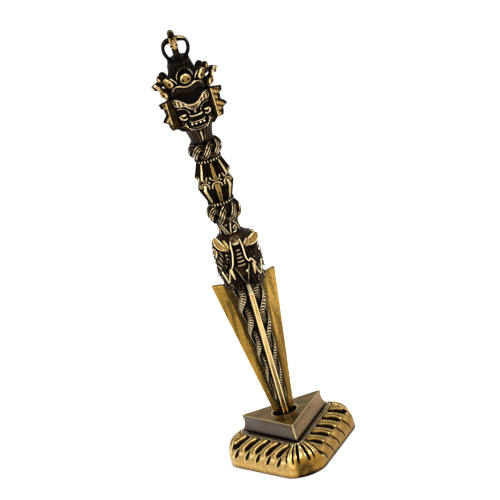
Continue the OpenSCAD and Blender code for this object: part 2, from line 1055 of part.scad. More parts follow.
// A prong bends out from the base and in again to the central prong
module prong(side) {
    arc_r = (vajra_h - vajra_foot_h) * 0.44;
    arc_centre = prong_reach - prong_d / 2 - arc_r;
    color(dark)
        difference() {
            rotate([0, 0, front + side])
                translate([arc_centre, 0, vajra_z + vajra_foot_h + arc_r * 0.8])
                    rotate([90, 0, 0])
                        rotate([0, 0, -62])
                            rotate_extrude(angle = 137)
                                translate([arc_r, 0])
                                    circle(prong_d / 2, $fn = 32);
            vajra_base();
            central_prong();
        }
}

module prong_front() {
    prong(0);
}

module prong_right() {
    prong(90);
}

module prong_back() {
    prong(180);
}

module prong_left() {
    prong(-90);
}

// The central prong, with a cushion where the outer prongs meet it and a blunt point
module central_prong() {
    r = central_d / 2;
    h = vajra_h - vajra_foot_h;
    color(brass)
        translate([0, 0, vajra_z + vajra_foot_h])
            rotate_extrude()
                polygon([[0, 0], [r * 0.85, 0], [r * 0.85, 0.3 * h], [r, 0.36 * h],
                         [r * 0.85, 0.42 * h], [r, 0.6 * h], [r * 1.15, 0.76 * h],
                         [r * 0.95, 0.86 * h], [r * 0.45, 0.97 * h], [0, h]]);
}

foot();
lotus_skirt();
petals_right();
petals_back();
petals_left();
petals_front_corner();
petals_right_corner();
petals_left_corner();
bead_rim();
plinth();
blade_core();
flange_front();
flange_right();
flange_left();
serpents_right();
serpents_back();
serpents_left();
makara_body();
makara_head_front();
makara_head_right();
makara_head_left();
makara_ears();
makara_tusks();
makara_eyes();
makara_curls();
collar();
lower_knot();
lower_bead_ring();
lower_grip_core();
lower_grip_petals();
waist_ring();
upper_grip_core();
upper_grip_petals();
upper_bead_ring();
upper_knot();
neck();
head_core();
face_front();
face_right();
face_left();
brows();
eyes();
noses();
mouths();
headband();
ear_flames();
crown_skulls();
crown_leaves();
topknot();
vajra_base();
prong_front();
prong_right();
prong_back();
prong_left();
central_prong();
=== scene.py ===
"""A three-flanged ritual dagger of cast brass, standing in its triangular lotus stand.

The shapes are worked out in millimetres as grids of points and become meshes in metres.
Angles round the dagger start at the front, which is -Y, and grow towards the right, +X."""
import math
import bpy
import numpy as np
from mathutils import Matrix, Vector


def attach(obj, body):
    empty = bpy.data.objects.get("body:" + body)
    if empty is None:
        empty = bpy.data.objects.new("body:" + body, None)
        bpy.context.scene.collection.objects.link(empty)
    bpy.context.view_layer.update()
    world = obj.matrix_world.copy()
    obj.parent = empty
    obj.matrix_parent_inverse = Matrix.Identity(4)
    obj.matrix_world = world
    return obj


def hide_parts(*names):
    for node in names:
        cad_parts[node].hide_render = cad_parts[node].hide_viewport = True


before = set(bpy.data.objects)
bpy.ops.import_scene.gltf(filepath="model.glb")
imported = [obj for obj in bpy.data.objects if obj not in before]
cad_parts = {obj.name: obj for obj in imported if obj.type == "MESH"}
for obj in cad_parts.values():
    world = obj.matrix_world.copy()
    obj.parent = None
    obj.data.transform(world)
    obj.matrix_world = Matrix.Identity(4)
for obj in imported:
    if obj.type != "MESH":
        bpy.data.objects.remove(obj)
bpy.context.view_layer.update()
MM = 0.001
SIDES = {"front": 0, "right": 120, "left": -120}
FACES = tuple(SIDES.values())
HOLLOWS = (60, 180, -60)


# Sizes, in millimetres, as in the solids

FOOT_H, FOOT_OUT, CENTRE_APOTHEM = 4.5, 12.0, 11.0
SKIRT_R, RIM_OUT, RIM_Z, PLINTH_Z, STAND_H = 9.6, 3.6, 14.1, 15.4, 23.0
SOCKET_R, PLINTH_APOTHEM, PLINTH_HOLLOW = 6.0, 11.6, 0.7
TIP_Z, BLADE_TOP = 4.8, 91.6
FLANGE_REACH, FLANGE_LOW, FLANGE_T = 18.0, 5.2, 2.3
CORE_R, CORE_LOW = 6.0, 2.0
MAKARA_Z, COLLAR_Z, LOWER_KNOT_Z, LOWER_BEAD_Z, LOWER_GRIP_Z = 91.6, 119.4, 125.6, 133.8, 136.1
WAIST_Z, UPPER_GRIP_Z, UPPER_BEAD_Z, UPPER_KNOT_Z, NECK_Z = 145.4, 147.5, 157.4, 159.7, 167.5
HEAD_Z, TOPKNOT_Z, VAJRA_Z, TOP_Z = 176.2, 200.2, 211.0, 226.1
SHOULDER_H, SHOULDER_SLOPE = 23.6, 4.2
KNOT_R, RING_R, WAIST_R = 8.3, 6.6, 7.8

# Sizes that follow the photograph alone

LOWER_SHIFT, WAIST_SHIFT, HOOPS_Z = 0.8, 1.9, 148.3
FOOT_DROP, VAJRA_FOOT_H = 1.8, 2.7
PETAL_STEP, FAN_R, FAN_FROM, PETALS_A_SIDE = 7.9, 8.0, 50, 10
BAND_DEG = 27
HEAD_R = 10.2
UPPER_LEAN, LOW_LEAN = 18, 14


# Vectors and placing

def unit(v):
    """Each vector divided by its length."""
    return v / np.maximum(np.linalg.norm(v, axis=-1, keepdims=True), 1e-12)


def points(x, y, z):
    """Three arrays side by side as an array of points."""
    return np.stack(np.broadcast_arrays(x, y, z), -1).astype(float)


def ring(count, whole=2 * np.pi):
    """A row of angles once round, in radians, or in degrees where the whole is 360."""
    return np.linspace(0, whole, count, endpoint=False)[None]


def column(low, high, count):
    """A column of evenly spaced numbers."""
    return np.linspace(low, high, count)[:, None]


def polar(r, a, z):
    """The point at radius r, at angle a in radians from the front, at height z."""
    return points(r * np.sin(a), -r * np.cos(a), z)


def heading(degrees):
    """The direction in plan of an angle from the front, as x and y."""
    g = np.radians(degrees)
    return np.stack([np.sin(g), -np.cos(g)], -1)


def turn(p, side):
    """Points given as outwards, sideways and up, turned to the angle of a side in degrees."""
    a = math.radians(side)
    x, y, z = p[..., 0], p[..., 1], p[..., 2]
    return points(x * math.sin(a) + y * math.cos(a), -x * math.cos(a) + y * math.sin(a), z)


def local(p):
    """World points at the front, as outwards, sideways and up."""
    return points(-p[..., 1], p[..., 0], p[..., 2])


def sideways(p, degrees):
    """Points given as outwards, sideways and up, turned about the axis and still given so."""
    a = math.radians(degrees)
    return points(p[..., 0] * math.cos(a) - p[..., 1] * math.sin(a),
                  p[..., 0] * math.sin(a) + p[..., 1] * math.cos(a), p[..., 2])


def lean(p, degrees, at):
    """Points tipped outwards about a sideways axis through a point given outwards and up."""
    a = math.radians(degrees)
    x, z = p[..., 0] - at[0], p[..., 2] - at[1]
    return points(at[0] + x * math.cos(a) + z * math.sin(a), p[..., 1],
                  at[1] - x * math.sin(a) + z * math.cos(a))


def folded(a, whole=120):
    """An angle in degrees counted from the nearest of the axes that a whole lies apart."""
    return (a + whole / 2) % whole - whole / 2


# Curves over one or two numbers

def smooth(low, high, x):
    """A step that rises from 0 at low to 1 at high, as three squares less two cubes."""
    t = np.clip((x - low) / (high - low), 0, 1)
    return t * t * (3 - 2 * t)


def between(a, b, c, d, x):
    """A step up from 0 at a to 1 at b, and down again from 1 at c to 0 at d."""
    return smooth(a, b, x) * (1 - smooth(c, d, x))


def bell(x, middle, width):
    """A bell curve: 1 at its middle, and e times less at one width from it."""
    return np.exp(-((x - middle) / width) ** 2)


def dome(x):
    """A half circle over -1 to 1, and 0 outside."""
    return np.sqrt(np.clip(1 - x * x, 0, None))


def ripple(x):
    """Rounded ridges from 0 to 1, one for each whole number."""
    return np.abs(np.sin(np.pi * x))


def blob(x, y, cx, cy, rx, ry, height):
    """An oval dome: its height times the root of one less the squared shares of its two radii."""
    return height * np.sqrt(np.clip(1 - ((x - cx) / rx) ** 2 - ((y - cy) / ry) ** 2, 0, None))


def chain_distance(x, y, chain):
    """Distance in a plane from each x, y to a chain of straight lines."""
    d = np.full(np.broadcast(x, y).shape, 1e9)
    for (ax, ay), (bx, by) in zip(chain[:-1], chain[1:]):
        ux, uy = bx - ax, by - ay
        t = np.clip(((x - ax) * ux + (y - ay) * uy) / (ux * ux + uy * uy), 0, 1)
        d = np.minimum(d, np.hypot(x - ax - t * ux, y - ay - t * uy))
    return d


def cord(x, y, chain, width, height):
    """A round-topped ridge along a chain: its height times a half circle over its width."""
    return height * dome(2 * chain_distance(x, y, chain) / width)


def inside(x, y, corners):
    """Distance from each x, y to the edge of a closed outline: positive inside, else negative."""
    loop = list(corners) + [corners[0]]
    crossings = np.zeros(np.broadcast(x, y).shape, int)
    for (ax, ay), (bx, by) in zip(loop[:-1], loop[1:]):
        if ay != by:
            crossings += ((ay > y) != (by > y)) & (x < ax + (y - ay) * (bx - ax) / (by - ay))
    return chain_distance(x, y, loop) * np.where(crossings % 2 == 1, 1, -1)


# Grids of points

def tube(path, across, thick=None, ref=(1, 0, 0), columns=20, relief=0):
    """A tube along a path. Its section is an oval: across is its half width sideways to the
    reference direction, thick its half height. Relief adds to both, for each share of the length
    and each angle of the section."""
    path = np.asarray(path, float)
    along = unit(np.gradient(path, axis=0))
    side = unit(np.cross(along, np.broadcast_to(np.asarray(ref, float), path.shape)))
    up = np.cross(side, along)
    a, b = (np.broadcast_to(np.asarray(w, float), len(path))[:, None]
            for w in (across, across if thick is None else thick))
    t = ring(columns)
    c, d = ((a + relief) * np.cos(t))[..., None], ((b + relief) * np.sin(t))[..., None]
    return path[:, None, :] + c * side[:, None, :] + d * up[:, None, :]


def ball_angles(rows, columns):
    """The polar angles, which stop just short of the poles, and the turns of a ball's points."""
    return column(0.04, np.pi - 0.04, rows), ring(columns)


def ball(centre, radii, rows=20, columns=28, relief=1):
    """An ellipsoid round a centre. Relief scales its radii."""
    v, u = ball_angles(rows, columns)
    return np.asarray(centre, float) + points(radii[0] * np.sin(v) * np.cos(u) * relief,
                                              radii[1] * np.sin(v) * np.sin(u) * relief,
                                              radii[2] * np.cos(v) * relief)


def curve(knots, n):
    """A smooth path through a few points, as a Catmull-Rom spline with n points."""
    k = np.asarray(knots, float)
    k = np.concatenate([[2 * k[0] - k[1]], k, [2 * k[-1] - k[-2]]])
    t = np.linspace(0, len(k) - 3, n)
    i = np.minimum(t.astype(int), len(k) - 4)
    f = (t - i)[:, None]
    a, b, c, d = k[i], k[i + 1], k[i + 2], k[i + 3]
    return 0.5 * (2 * b + (c - a) * f + (2 * a - 5 * b + 4 * c - d) * f ** 2
                  + (3 * b - a - 3 * c + d) * f ** 3)


def leaf_widths(wide, low, high, count):
    """Half widths along a leaf: the root of a sine between two shares of a half turn."""
    return wide * np.sqrt(np.sin(np.pi * np.linspace(low, high, count)))


def finer(p, times):
    """More columns round a grid, by straight shares between each column and the next."""
    share = (np.arange(times) / times)[None, None, :, None]
    step = np.roll(p, -1, 1) - p
    fine = p[:, :, None, :] + step[:, :, None, :] * share
    return fine.reshape(p.shape[0], -1, p.shape[-1])


# Wear: how far each point stands out of the smoothed surface round it

def blurred(p, count, axis, closed):
    """A running mean over 2 * count + 1 neighbours along one axis, twice over."""
    if count == 0:
        return p
    pad = [(0, 0)] * p.ndim
    pad[axis] = (count, count)
    how = {"mode": "wrap"} if closed else {"mode": "reflect", "reflect_type": "odd"}
    n = p.shape[axis]
    for _ in range(2):
        total = np.cumsum(np.pad(p, pad, **how), axis=axis)
        zero = np.zeros_like(np.take(total, [0], axis=axis))
        total = np.concatenate([zero, total], axis=axis)
        high = np.take(total, np.arange(n) + 2 * count + 1, axis=axis)
        p = (high - np.take(total, np.arange(n), axis=axis)) / (2 * count + 1)
    return p


def exposure(p, loop, reach, sign):
    """How far the points stand out of their mean over a reach in millimetres, as 0 to 1."""
    rows = np.roll(p, -1, 0) - np.roll(p, 1, 0) if loop else np.gradient(p, axis=0)
    columns = np.roll(p, -1, 1) - np.roll(p, 1, 1)
    normal = unit(np.cross(columns, rows)) * sign
    out = np.zeros(p.shape[:2])
    for share in (1, 0.45):
        width = []
        for axis in (0, 1):
            step = np.median(np.linalg.norm(np.diff(p, axis=axis), axis=-1)) + 1e-6
            width.append(int(min(round(share * reach / step / 2), p.shape[axis] // 3)))
        mean = blurred(blurred(p, width[0], 0, loop), width[1], 1, True)
        out += ((p - mean) * normal).sum(-1) / (0.22 * share * reach)
    return np.clip(0.5 + 0.25 * out, 0, 1)


# Pieces

class Piece:
    """One mesh made of any number of grids of points."""

    def __init__(self, name, finish, nodes=None, body="dagger", slot="aged_brass"):
        self.name, self.finish, self.nodes = name, finish, nodes or [name]
        self.body, self.slot = body, slot
        self.points, self.wear_and_painted_light, self.loops, self.sizes, self.count = [], [], [], [], 0

    def grid(self, p, wear_and_painted_light, loop=False, reach=None):
        """Adds a grid whose columns close round it. Its rows close too where it is a loop, and
        else its ends are closed by fans. Its faces are turned outwards by the sign of its
        volume. A reach adds the points' own exposure to the wear."""
        rows, columns = p.shape[:2]
        index = np.arange(rows * columns).reshape(rows, columns)
        a = index if loop else index[:-1]
        b = np.roll(index, -1, 0) if loop else index[1:]
        faces = [np.stack([a, np.roll(a, -1, 1), np.roll(b, -1, 1), b], -1).reshape(-1, 4)]
        flat = p.reshape(-1, 3)
        if not loop:
            flat = np.concatenate([flat, [p[0].mean(0), p[-1].mean(0)]])
            low, high, n = index[0], index[-1], rows * columns
            faces.append(np.stack([np.roll(low, -1), low, np.full(columns, n)], -1))
            faces.append(np.stack([high, np.roll(high, -1), np.full(columns, n + 1)], -1))
        volume = 0
        for f in faces:
            corners = flat[f] - flat.mean(0)
            for k in range(1, f.shape[1] - 1):
                volume += np.einsum("ij,ij->i", corners[:, 0],
                                    np.cross(corners[:, k], corners[:, k + 1])).sum()
        sign = 1 if volume > 0 else -1
        worn = (exposure(p, loop, reach, sign) if reach else np.zeros((rows, columns))) + wear_and_painted_light
        worn = worn.reshape(-1)
        if not loop:
            worn = np.concatenate([worn, [worn[:columns].mean(), worn[-columns:].mean()]])
        for f in faces:
            self.loops.append(((f if sign > 0 else f[:, ::-1]) + self.count).reshape(-1))
            self.sizes.append(np.full(len(f), f.shape[1]))
        self.points.append(flat)
        self.wear_and_painted_light.append(worn)
        self.count += len(flat)
        return self

    def done(self):
        """Makes the mesh, gives it its finish and lets it ride on its body."""
        mesh = bpy.data.meshes.new("dressed_" + self.name)
        co = np.concatenate(self.points) * MM
        loops = np.concatenate(self.loops)
        sizes = np.concatenate(self.sizes)
        starts = np.concatenate([[0], np.cumsum(sizes)[:-1]])
        mesh.vertices.add(len(co))
        mesh.vertices.foreach_set("co", co.astype(np.float32).reshape(-1))
        mesh.loops.add(len(loops))
        mesh.loops.foreach_set("vertex_index", loops.astype(np.int32))
        mesh.polygons.add(len(sizes))
        mesh.polygons.foreach_set("loop_start", starts.astype(np.int32))
        mesh.polygons.foreach_set("use_smooth", np.ones(len(sizes), bool))
        mesh.update(calc_edges=True)
        # The wear attribute holds real wear and, in places, painted light and painted shade.
        worn = mesh.attributes.new("wear_and_painted_light", "FLOAT", "POINT")
        worn.data.foreach_set("value", np.concatenate(self.wear_and_painted_light).astype(np.float32))
        mesh.materials.append(self.finish)
        piece = bpy.data.objects.new("dressed_" + self.name, mesh)
        bpy.context.scene.collection.objects.link(piece)
        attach(piece, self.body)
        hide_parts(*self.nodes)


def dress(name, finish, p, wear_and_painted_light, nodes=None, body="dagger", slot="aged_brass", **how):
    """Makes a piece of one grid."""
    Piece(name, finish, nodes, body, slot).grid(p, wear_and_painted_light, **how).done()


# Finishes

class Value:
    """One output of a node. Arithmetic on it adds Math nodes to its finish."""

    def __init__(self, finish, socket):
        self.finish, self.socket = finish, socket

    def _math(self, operation, other):
        """The output of a Math node over this value and another."""
        return self.finish.node("ShaderNodeMath", {"operation": operation}, {0: self, 1: other})

    def __add__(self, other):
        return self._math("ADD", other)

    __radd__ = __add__

    def __sub__(self, other):
        return self._math("SUBTRACT", other)

    def __mul__(self, other):
        return self._math("MULTIPLY", other)


class Finish:
    """A material whose shader's sockets are fed by expressions."""

    def __init__(self, name, metallic=1.0):
        self.material = bpy.data.materials.new(name)
        self.material.use_nodes = True
        self.tree = self.material.node_tree
        self.shader = self.tree.nodes["Principled BSDF"]
        self.shader.inputs["Metallic"].default_value = metallic

    def node(self, kind, settings, sockets, output=0):
        """Adds a node: its settings first, then the values or links of its sockets."""
        made = self.tree.nodes.new(kind)
        for key, value in settings.items():
            setattr(made, key, value)
        for key, value in sockets.items():
            self.feed(made.inputs[key], value)
        return Value(self, made.outputs[output])

    def feed(self, socket, value):
        """Links a socket to a value, or sets it to a number or colour."""
        if isinstance(value, Value):
            self.tree.links.new(value.socket, socket)
        else:
            socket.default_value = value

    def place(self, scale=(1, 1, 1)):
        """Object coordinates, stretched along the axes."""
        where = self.node("ShaderNodeTexCoord", {}, {}, "Object")
        return self.node("ShaderNodeMapping", {}, {"Vector": where, "Scale": scale})

    def noise(self, where, scale, detail=3.0):
        """Soft spots, as 0 to 1; scale is in spots for each metre."""
        return self.node("ShaderNodeTexNoise", {}, {"Vector": where, "Scale": scale,
                                                    "Detail": detail, "Roughness": 0.55})

    def step(self, value, low, high, to_low=0.0, to_high=1.0):
        """A smooth step of a value between two bounds."""
        return self.node("ShaderNodeMapRange", {"interpolation_type": "SMOOTHSTEP"},
                         {"Value": value, "From Min": low, "From Max": high,
                          "To Min": to_low, "To Max": to_high})

    def mix(self, factor, a, b):
        """One colour over another by a factor."""
        return self.node("ShaderNodeMix", {"data_type": "RGBA"}, {0: factor, 6: a, 7: b}, 2)

    def wear_and_painted_light(self, shade):
        """The mesh's own measure of what stands out, with painted light and shade in places, less
        a shade where the air can't reach.
        """
        worn = self.node("ShaderNodeAttribute", {"attribute_name": "wear_and_painted_light"}, {}, "Fac")
        open_to_air = self.node("ShaderNodeAmbientOcclusion", {"samples": 8},
                                {"Distance": 2.2 * MM}, "AO")
        return worn + (open_to_air - 1.0) * shade

    def patina(self, mask, deep, ground, bright, deep_until, bright_over):
        """A colour that is deep at the foot of the mask's first span, then the ground's, and
        bright at the top of its second span."""
        plain = self.mix(self.step(mask, *deep_until), srgb(*deep), ground)
        return self.mix(self.step(mask, *bright_over), plain, srgb(*bright))

    def done(self, colour, roughness, bump, strength, depth):
        """Feeds the shader. Depth is the bump's, in millimetres."""
        self.feed(self.shader.inputs["Base Color"], colour)
        self.feed(self.shader.inputs["Roughness"], roughness)
        normal = self.node("ShaderNodeBump", {}, {"Height": bump, "Strength": strength,
                                                  "Distance": depth * MM})
        self.feed(self.shader.inputs["Normal"], normal)
        return self.material


def srgb(r, g, b):
    """A colour written as 0 to 255 as on a screen, in the linear values that the shader takes."""
    c = np.array([r, g, b]) / 255
    c = np.where(c <= 0.04045, c / 12.92, ((c + 0.055) / 1.055) ** 2.4)
    return (*c.tolist(), 1.0)


def cast_brass(name, deep, middle, bright, low, high, gloss=(0.5, 0.24)):
    """Cast brass with patina: deep in the recesses, middle on plain ground and bright where it
    is worn. Low and high bound the wear over which it turns bright."""
    f = Finish(name)
    where = f.place()
    cloud = f.noise(where, 420.0, 4.0)
    fine = f.noise(where, 2600.0)
    mask = f.wear_and_painted_light(1.0) + (cloud - 0.5) * 0.22 + (fine - 0.5) * 0.1
    colour = f.patina(mask, deep, srgb(*middle), bright, (low - 0.3, low + 0.04), (low, high))
    rough = f.step(mask, low - 0.1, high, *gloss) + (fine - 0.5) * 0.12
    return f.done(colour, rough, cloud * 0.5 + fine, strength=0.35, depth=0.07)


def blade_brass(name, dull, clean):
    """Polished flange faces: warm brass with long faint tarnish, fine strokes along the blade and
    darkness towards the recess."""
    f = Finish(name)
    along = f.place((1.0, 1.0, 0.12))
    tarnish = f.noise(along, 240.0, 4.0)
    strokes = f.noise(f.place((1.0, 1.0, 0.03)), 5200.0, 2.0)
    spots = f.noise(f.place(), 900.0, 4.0)
    plain = f.mix(f.step(tarnish + (spots - 0.5) * 0.4, 0.38, 0.64), srgb(*dull), srgb(*clean))
    colour = f.patina(f.wear_and_painted_light(0.9), (30, 22, 12), plain, (246, 216, 142), (-0.1, 0.42), (0.56, 0.8))
    rough = 0.3 + (spots - 0.5) * 0.16 + (strokes - 0.5) * 0.1
    return f.done(colour, rough, strokes, strength=0.25, depth=0.03)


def plinth_brass():
    """The plinth: brown patina on its hollow sides, olive brass on top and bright worn edges. The
    sides are painted lighter and warmer towards the right, as painted light.
    """
    f = Finish("plinth_brass")
    where = f.place()
    cloud = f.noise(where, 160.0, 5.0)
    fine = f.noise(where, 1800.0)
    normal = f.node("ShaderNodeNewGeometry", {}, {}, "Normal")
    up = f.node("ShaderNodeSeparateXYZ", {}, {0: normal}, 2)
    # Painted light: the sides go from cool grey on the left to a lighter, warm brown on the right.
    right = f.node("ShaderNodeSeparateXYZ", {}, {0: where}, 0)
    warm = f.step(cloud * 0.3 + right * 60.0, 0.0, 0.45)
    sides = f.mix(warm, srgb(88, 76, 66), srgb(128, 100, 64))
    top = f.mix(f.step(cloud, 0.3, 0.7), srgb(104, 86, 42), srgb(158, 124, 62))
    plain = f.mix(f.step(up, 0.5, 0.9), sides, top)
    mask = f.wear_and_painted_light(0.8) + (cloud - 0.5) * 0.2 + (fine - 0.5) * 0.1
    colour = f.patina(mask, (30, 23, 15), plain, (232, 204, 140), (-0.05, 0.35), (0.58, 0.8))
    return f.done(colour, 0.36 + (cloud - 0.5) * 0.2, cloud + fine * 0.3, strength=0.2, depth=0.06)


ORNAMENT = cast_brass("ornament_brass", (15, 11, 8), (72, 52, 35), (238, 214, 164), 0.56, 0.84)
SKULL_BRASS = cast_brass("skull_brass", (24, 16, 9), (158, 124, 66), (238, 218, 164),
                         0.56, 0.84, (0.55, 0.4))
DARK_BRASS = cast_brass("dark_brass", (12, 10, 8), (34, 28, 22), (190, 165, 115), 0.66, 0.95)
LOTUS_BRASS = cast_brass("lotus_brass", (22, 16, 9), (172, 130, 54), (244, 218, 150), 0.56, 0.86)
# One blade finish in three copies: the right flange's copy is brighter as painted light, the left
# flange's darker as painted shade.
BLADE_BRASS = {"front": blade_brass("edge_brass", (150, 114, 62), (212, 182, 124)),
               "right": blade_brass("painted_light_blade", (112, 84, 36), (178, 140, 68)),
               "left": blade_brass("painted_shade_blade", (80, 62, 24), (150, 114, 46))}
PLINTH_BRASS = plinth_brass()


# The stand

def triangle_rows(radius, corner_angles, along):
    """For each side in turn, a corner at a radius with a column for each angle, then the straight
    side with a column for each share: points, and the directions in which columns grow."""
    base, growth = [], []
    for a in (0, 120, 240):
        corner, other = radius * heading(a), radius * heading(a + 120)
        base += [np.tile(corner, (len(corner_angles), 1)),
                 corner + (other - corner) * along[:, None]]
        growth += [heading(a + corner_angles), heading(np.full(len(along), a + 60.0))]
    return np.concatenate(base), np.concatenate(growth)


def stand_columns():
    """The columns round the stand: points of the triangle of corner centres, the direction in
    which each column grows outwards, a petal count that is whole at each gap, how far a petal
    leans on its way down, away from the front corner, and whether it is one of the narrow ones.

    A corner spreads its columns over 120 degrees and holds five narrow petals, whose gaps stand
    at the fan's angles. The rest of each side is shared by five broad petals."""
    turnings = np.linspace(-60, 60, 66, endpoint=False)
    t = np.linspace(0, 1, 96, endpoint=False)
    radius = 2 * CENTRE_APOTHEM
    base, growth = triangle_rows(radius, turnings, t)
    length = 2 * radius * math.sin(math.radians(60))
    start = FAN_R * math.radians(60 - FAN_FROM)
    width = (length + 2 * start) / 5
    arc = FAN_R * np.radians(np.abs(turnings) - FAN_FROM) / width
    fan = np.interp(turnings, (-50, -29, -15, 15, 29, 50), (-50, -30, -10, 10, 30, 50)) / 20
    beside = np.where(turnings > 0, 5 + arc, -arc)
    corner = np.where(np.abs(turnings) > FAN_FROM, beside, 2.5 + fan)
    side = 5 + start / width + t * length / width
    petal, tilt = [], []
    leans = ((-1, 1), (1, -1), (1, -1))
    for i, (first, last) in enumerate(leans):
        petal += [PETALS_A_SIDE * i + corner, PETALS_A_SIDE * i + side]
        tilt += [first + (last - first) * (turnings + 60) / 120,
                 last + (leans[(i + 1) % 3][0] - last) * t]
    narrow = np.tile(np.concatenate([1 - smooth(46, 56, np.abs(turnings)), 0 * t]), 3)
    return base, growth, np.concatenate(petal)[None], np.concatenate(tilt)[None], narrow[None]


BASE, GROWTH, PETAL, TILT, NARROW = stand_columns()
RIM = BASE + RIM_OUT * GROWTH
ROUND = np.arctan2(RIM[:, 0], -RIM[:, 1])[None]

# The wear of surfaces that lie inside and are never seen

HIDDEN = -1.0


def stand_rows(out, z):
    """One row of points for each distance outwards and height."""
    out, z = np.broadcast_arrays(np.asarray(out, float), np.asarray(z, float))
    if out.ndim == 1:
        out, z = out[:, None], z[:, None]
    flat = BASE[None] + GROWTH[None] * out[..., None]
    return points(flat[..., 0], flat[..., 1], z)


def bore_rows(heights):
    """Rows round the socket, in line with the stand's columns."""
    return polar(SOCKET_R, ROUND, np.array(heights, float)[:, None])


def petals(deg):
    """Relief in millimetres and wear of the petals, at each degree up the quarter round; the
    foot's band lies below 0. Each gap between petals is a long slot above and a notch below,
    which on the right side is a thin line that runs on down the band. A groove runs down each
    petal, bright lips stand along the slots and the front corner is darker. Low down, the petals
    on the left side are painted lighter, as painted light."""
    narrow, tilt = NARROW, TILT
    broad = 1 - narrow
    right = (tilt > 0) * broad
    swing = PETAL - tilt * ((50 - deg) / 90 * 1.15 - 0.45) * (1 - 0.75 * narrow)
    fan_step = (RIM_OUT + SKIRT_R * np.cos(np.radians(deg))) * math.radians(20)
    step = PETAL_STEP - narrow * (PETAL_STEP - fan_step)
    off = (swing - np.round(swing)) * step
    slot_w = 2.45 * (1 - 0.7 * narrow) * smooth(24, 40, deg + 14 * narrow) \
        * dome((deg - 58 + 6 * narrow) / (29 + 7 * narrow)) ** 0.55
    slot = smooth(0, 0.45, slot_w - np.abs(off))
    shift = off - np.where(tilt > 0, 1.2, 2.7) * broad
    notch_w = (1.3 - 0.7 * right) * broad * dome((deg - 20 + 8 * right) / (16 + 10 * right))
    notch = smooth(0, 0.35, notch_w - np.abs(shift))
    middle = np.abs(np.abs(off) - 0.42 * step)
    groove = smooth(0.45, 0.1, middle) * (off * tilt > 0) * broad * between(36, 46, 72, 80, deg)
    lip = bell(np.abs(off) - slot_w, 0.3, 0.3) * between(26, 36, 80, 88, deg)
    lower_lip = bell(np.abs(shift) - notch_w, 0.25, 0.28) * broad \
        * smooth(-2, 6, deg + 10 * right) * (1 - smooth(30, 36, deg)) \
        * np.where(right > 0, shift < 0, 1)
    swell = 0.7 * dome((np.abs(off) - step / 2) / (0.5 * step)) * between(4, 30, 78, 90, deg)
    edge = BASE + FOOT_OUT * GROWTH
    front = (edge[:, 1] < -20) * between(-5.6, -4.2, 2, 6.5, edge[:, 0])
    # Painted light: low down, the petals on the left side are lightened.
    left = smooth(-0.2, -0.6, GROWTH[:, 0]) * (GROWTH[:, 1] < 0)
    low = smooth(42, 20, deg)
    relief = swell + 0.3 * lip + 0.2 * lower_lip - (2.2 - 1.1 * narrow) * slot - 1.2 * notch \
        - 0.6 * groove
    worn = 0.5 + 0.4 * lip + 0.36 * lower_lip + 0.18 * swell - 0.95 * slot - 0.9 * notch \
        - 0.5 * groove - 0.3 * smooth(82, 88, deg) + (0.14 * left - 0.13 * front) * low
    return relief, worn


def foot():
    """The band below the petals, its lower edge rounded and worn bright."""
    edge_r, rows = 0.6, 16
    edge = np.radians(np.linspace(0, 90, 6))
    out = np.concatenate([[6, 10], FOOT_OUT - edge_r + edge_r * np.sin(edge),
                          np.full(rows, FOOT_OUT), [FOOT_OUT - 0.5, 10, 6]])[:, None]
    z = np.concatenate([[0, 0], edge_r - edge_r * np.cos(edge), np.linspace(0.7, FOOT_H, rows),
                        np.full(3, FOOT_H)])[:, None]
    relief, worn = petals(-BAND_DEG * (1 - z / FOOT_H))
    dress("foot_band", LOTUS_BRASS,
          stand_rows(out + np.minimum(relief, 0) * (out > FOOT_OUT - 0.01), z),
          worn + 0.16 * bell(z, edge_r, 0.4), ["foot"], "stand", "foot_brass")


def lotus():
    """The quarter round with its petals, closed inside by the socket's bore."""
    deg = column(0, 90, 90)
    phi = np.radians(deg)
    relief, worn = petals(deg)
    r = SKIRT_R - 0.75 + relief + 0.75 * (1 - smooth(0, 22, deg)) + 0.85 * smooth(76, 85, deg)
    wide = (FOOT_OUT - RIM_OUT) / SKIRT_R
    outer = stand_rows(RIM_OUT + wide * r * np.cos(phi), FOOT_H + r * np.sin(phi))
    inner = bore_rows([RIM_Z - 0.6, RIM_Z - 0.7, 9, FOOT_H + 0.01])
    rows = ["petals_" + word for word in ("right", "back", "left", "front_corner",
                                          "right_corner", "left_corner")]
    dress("lotus_petals", LOTUS_BRASS, np.concatenate([outer, inner]),
          np.concatenate([worn, np.full((len(inner), worn.shape[1]), HIDDEN)]),
          ["lotus_skirt", *rows], "stand", loop=True)


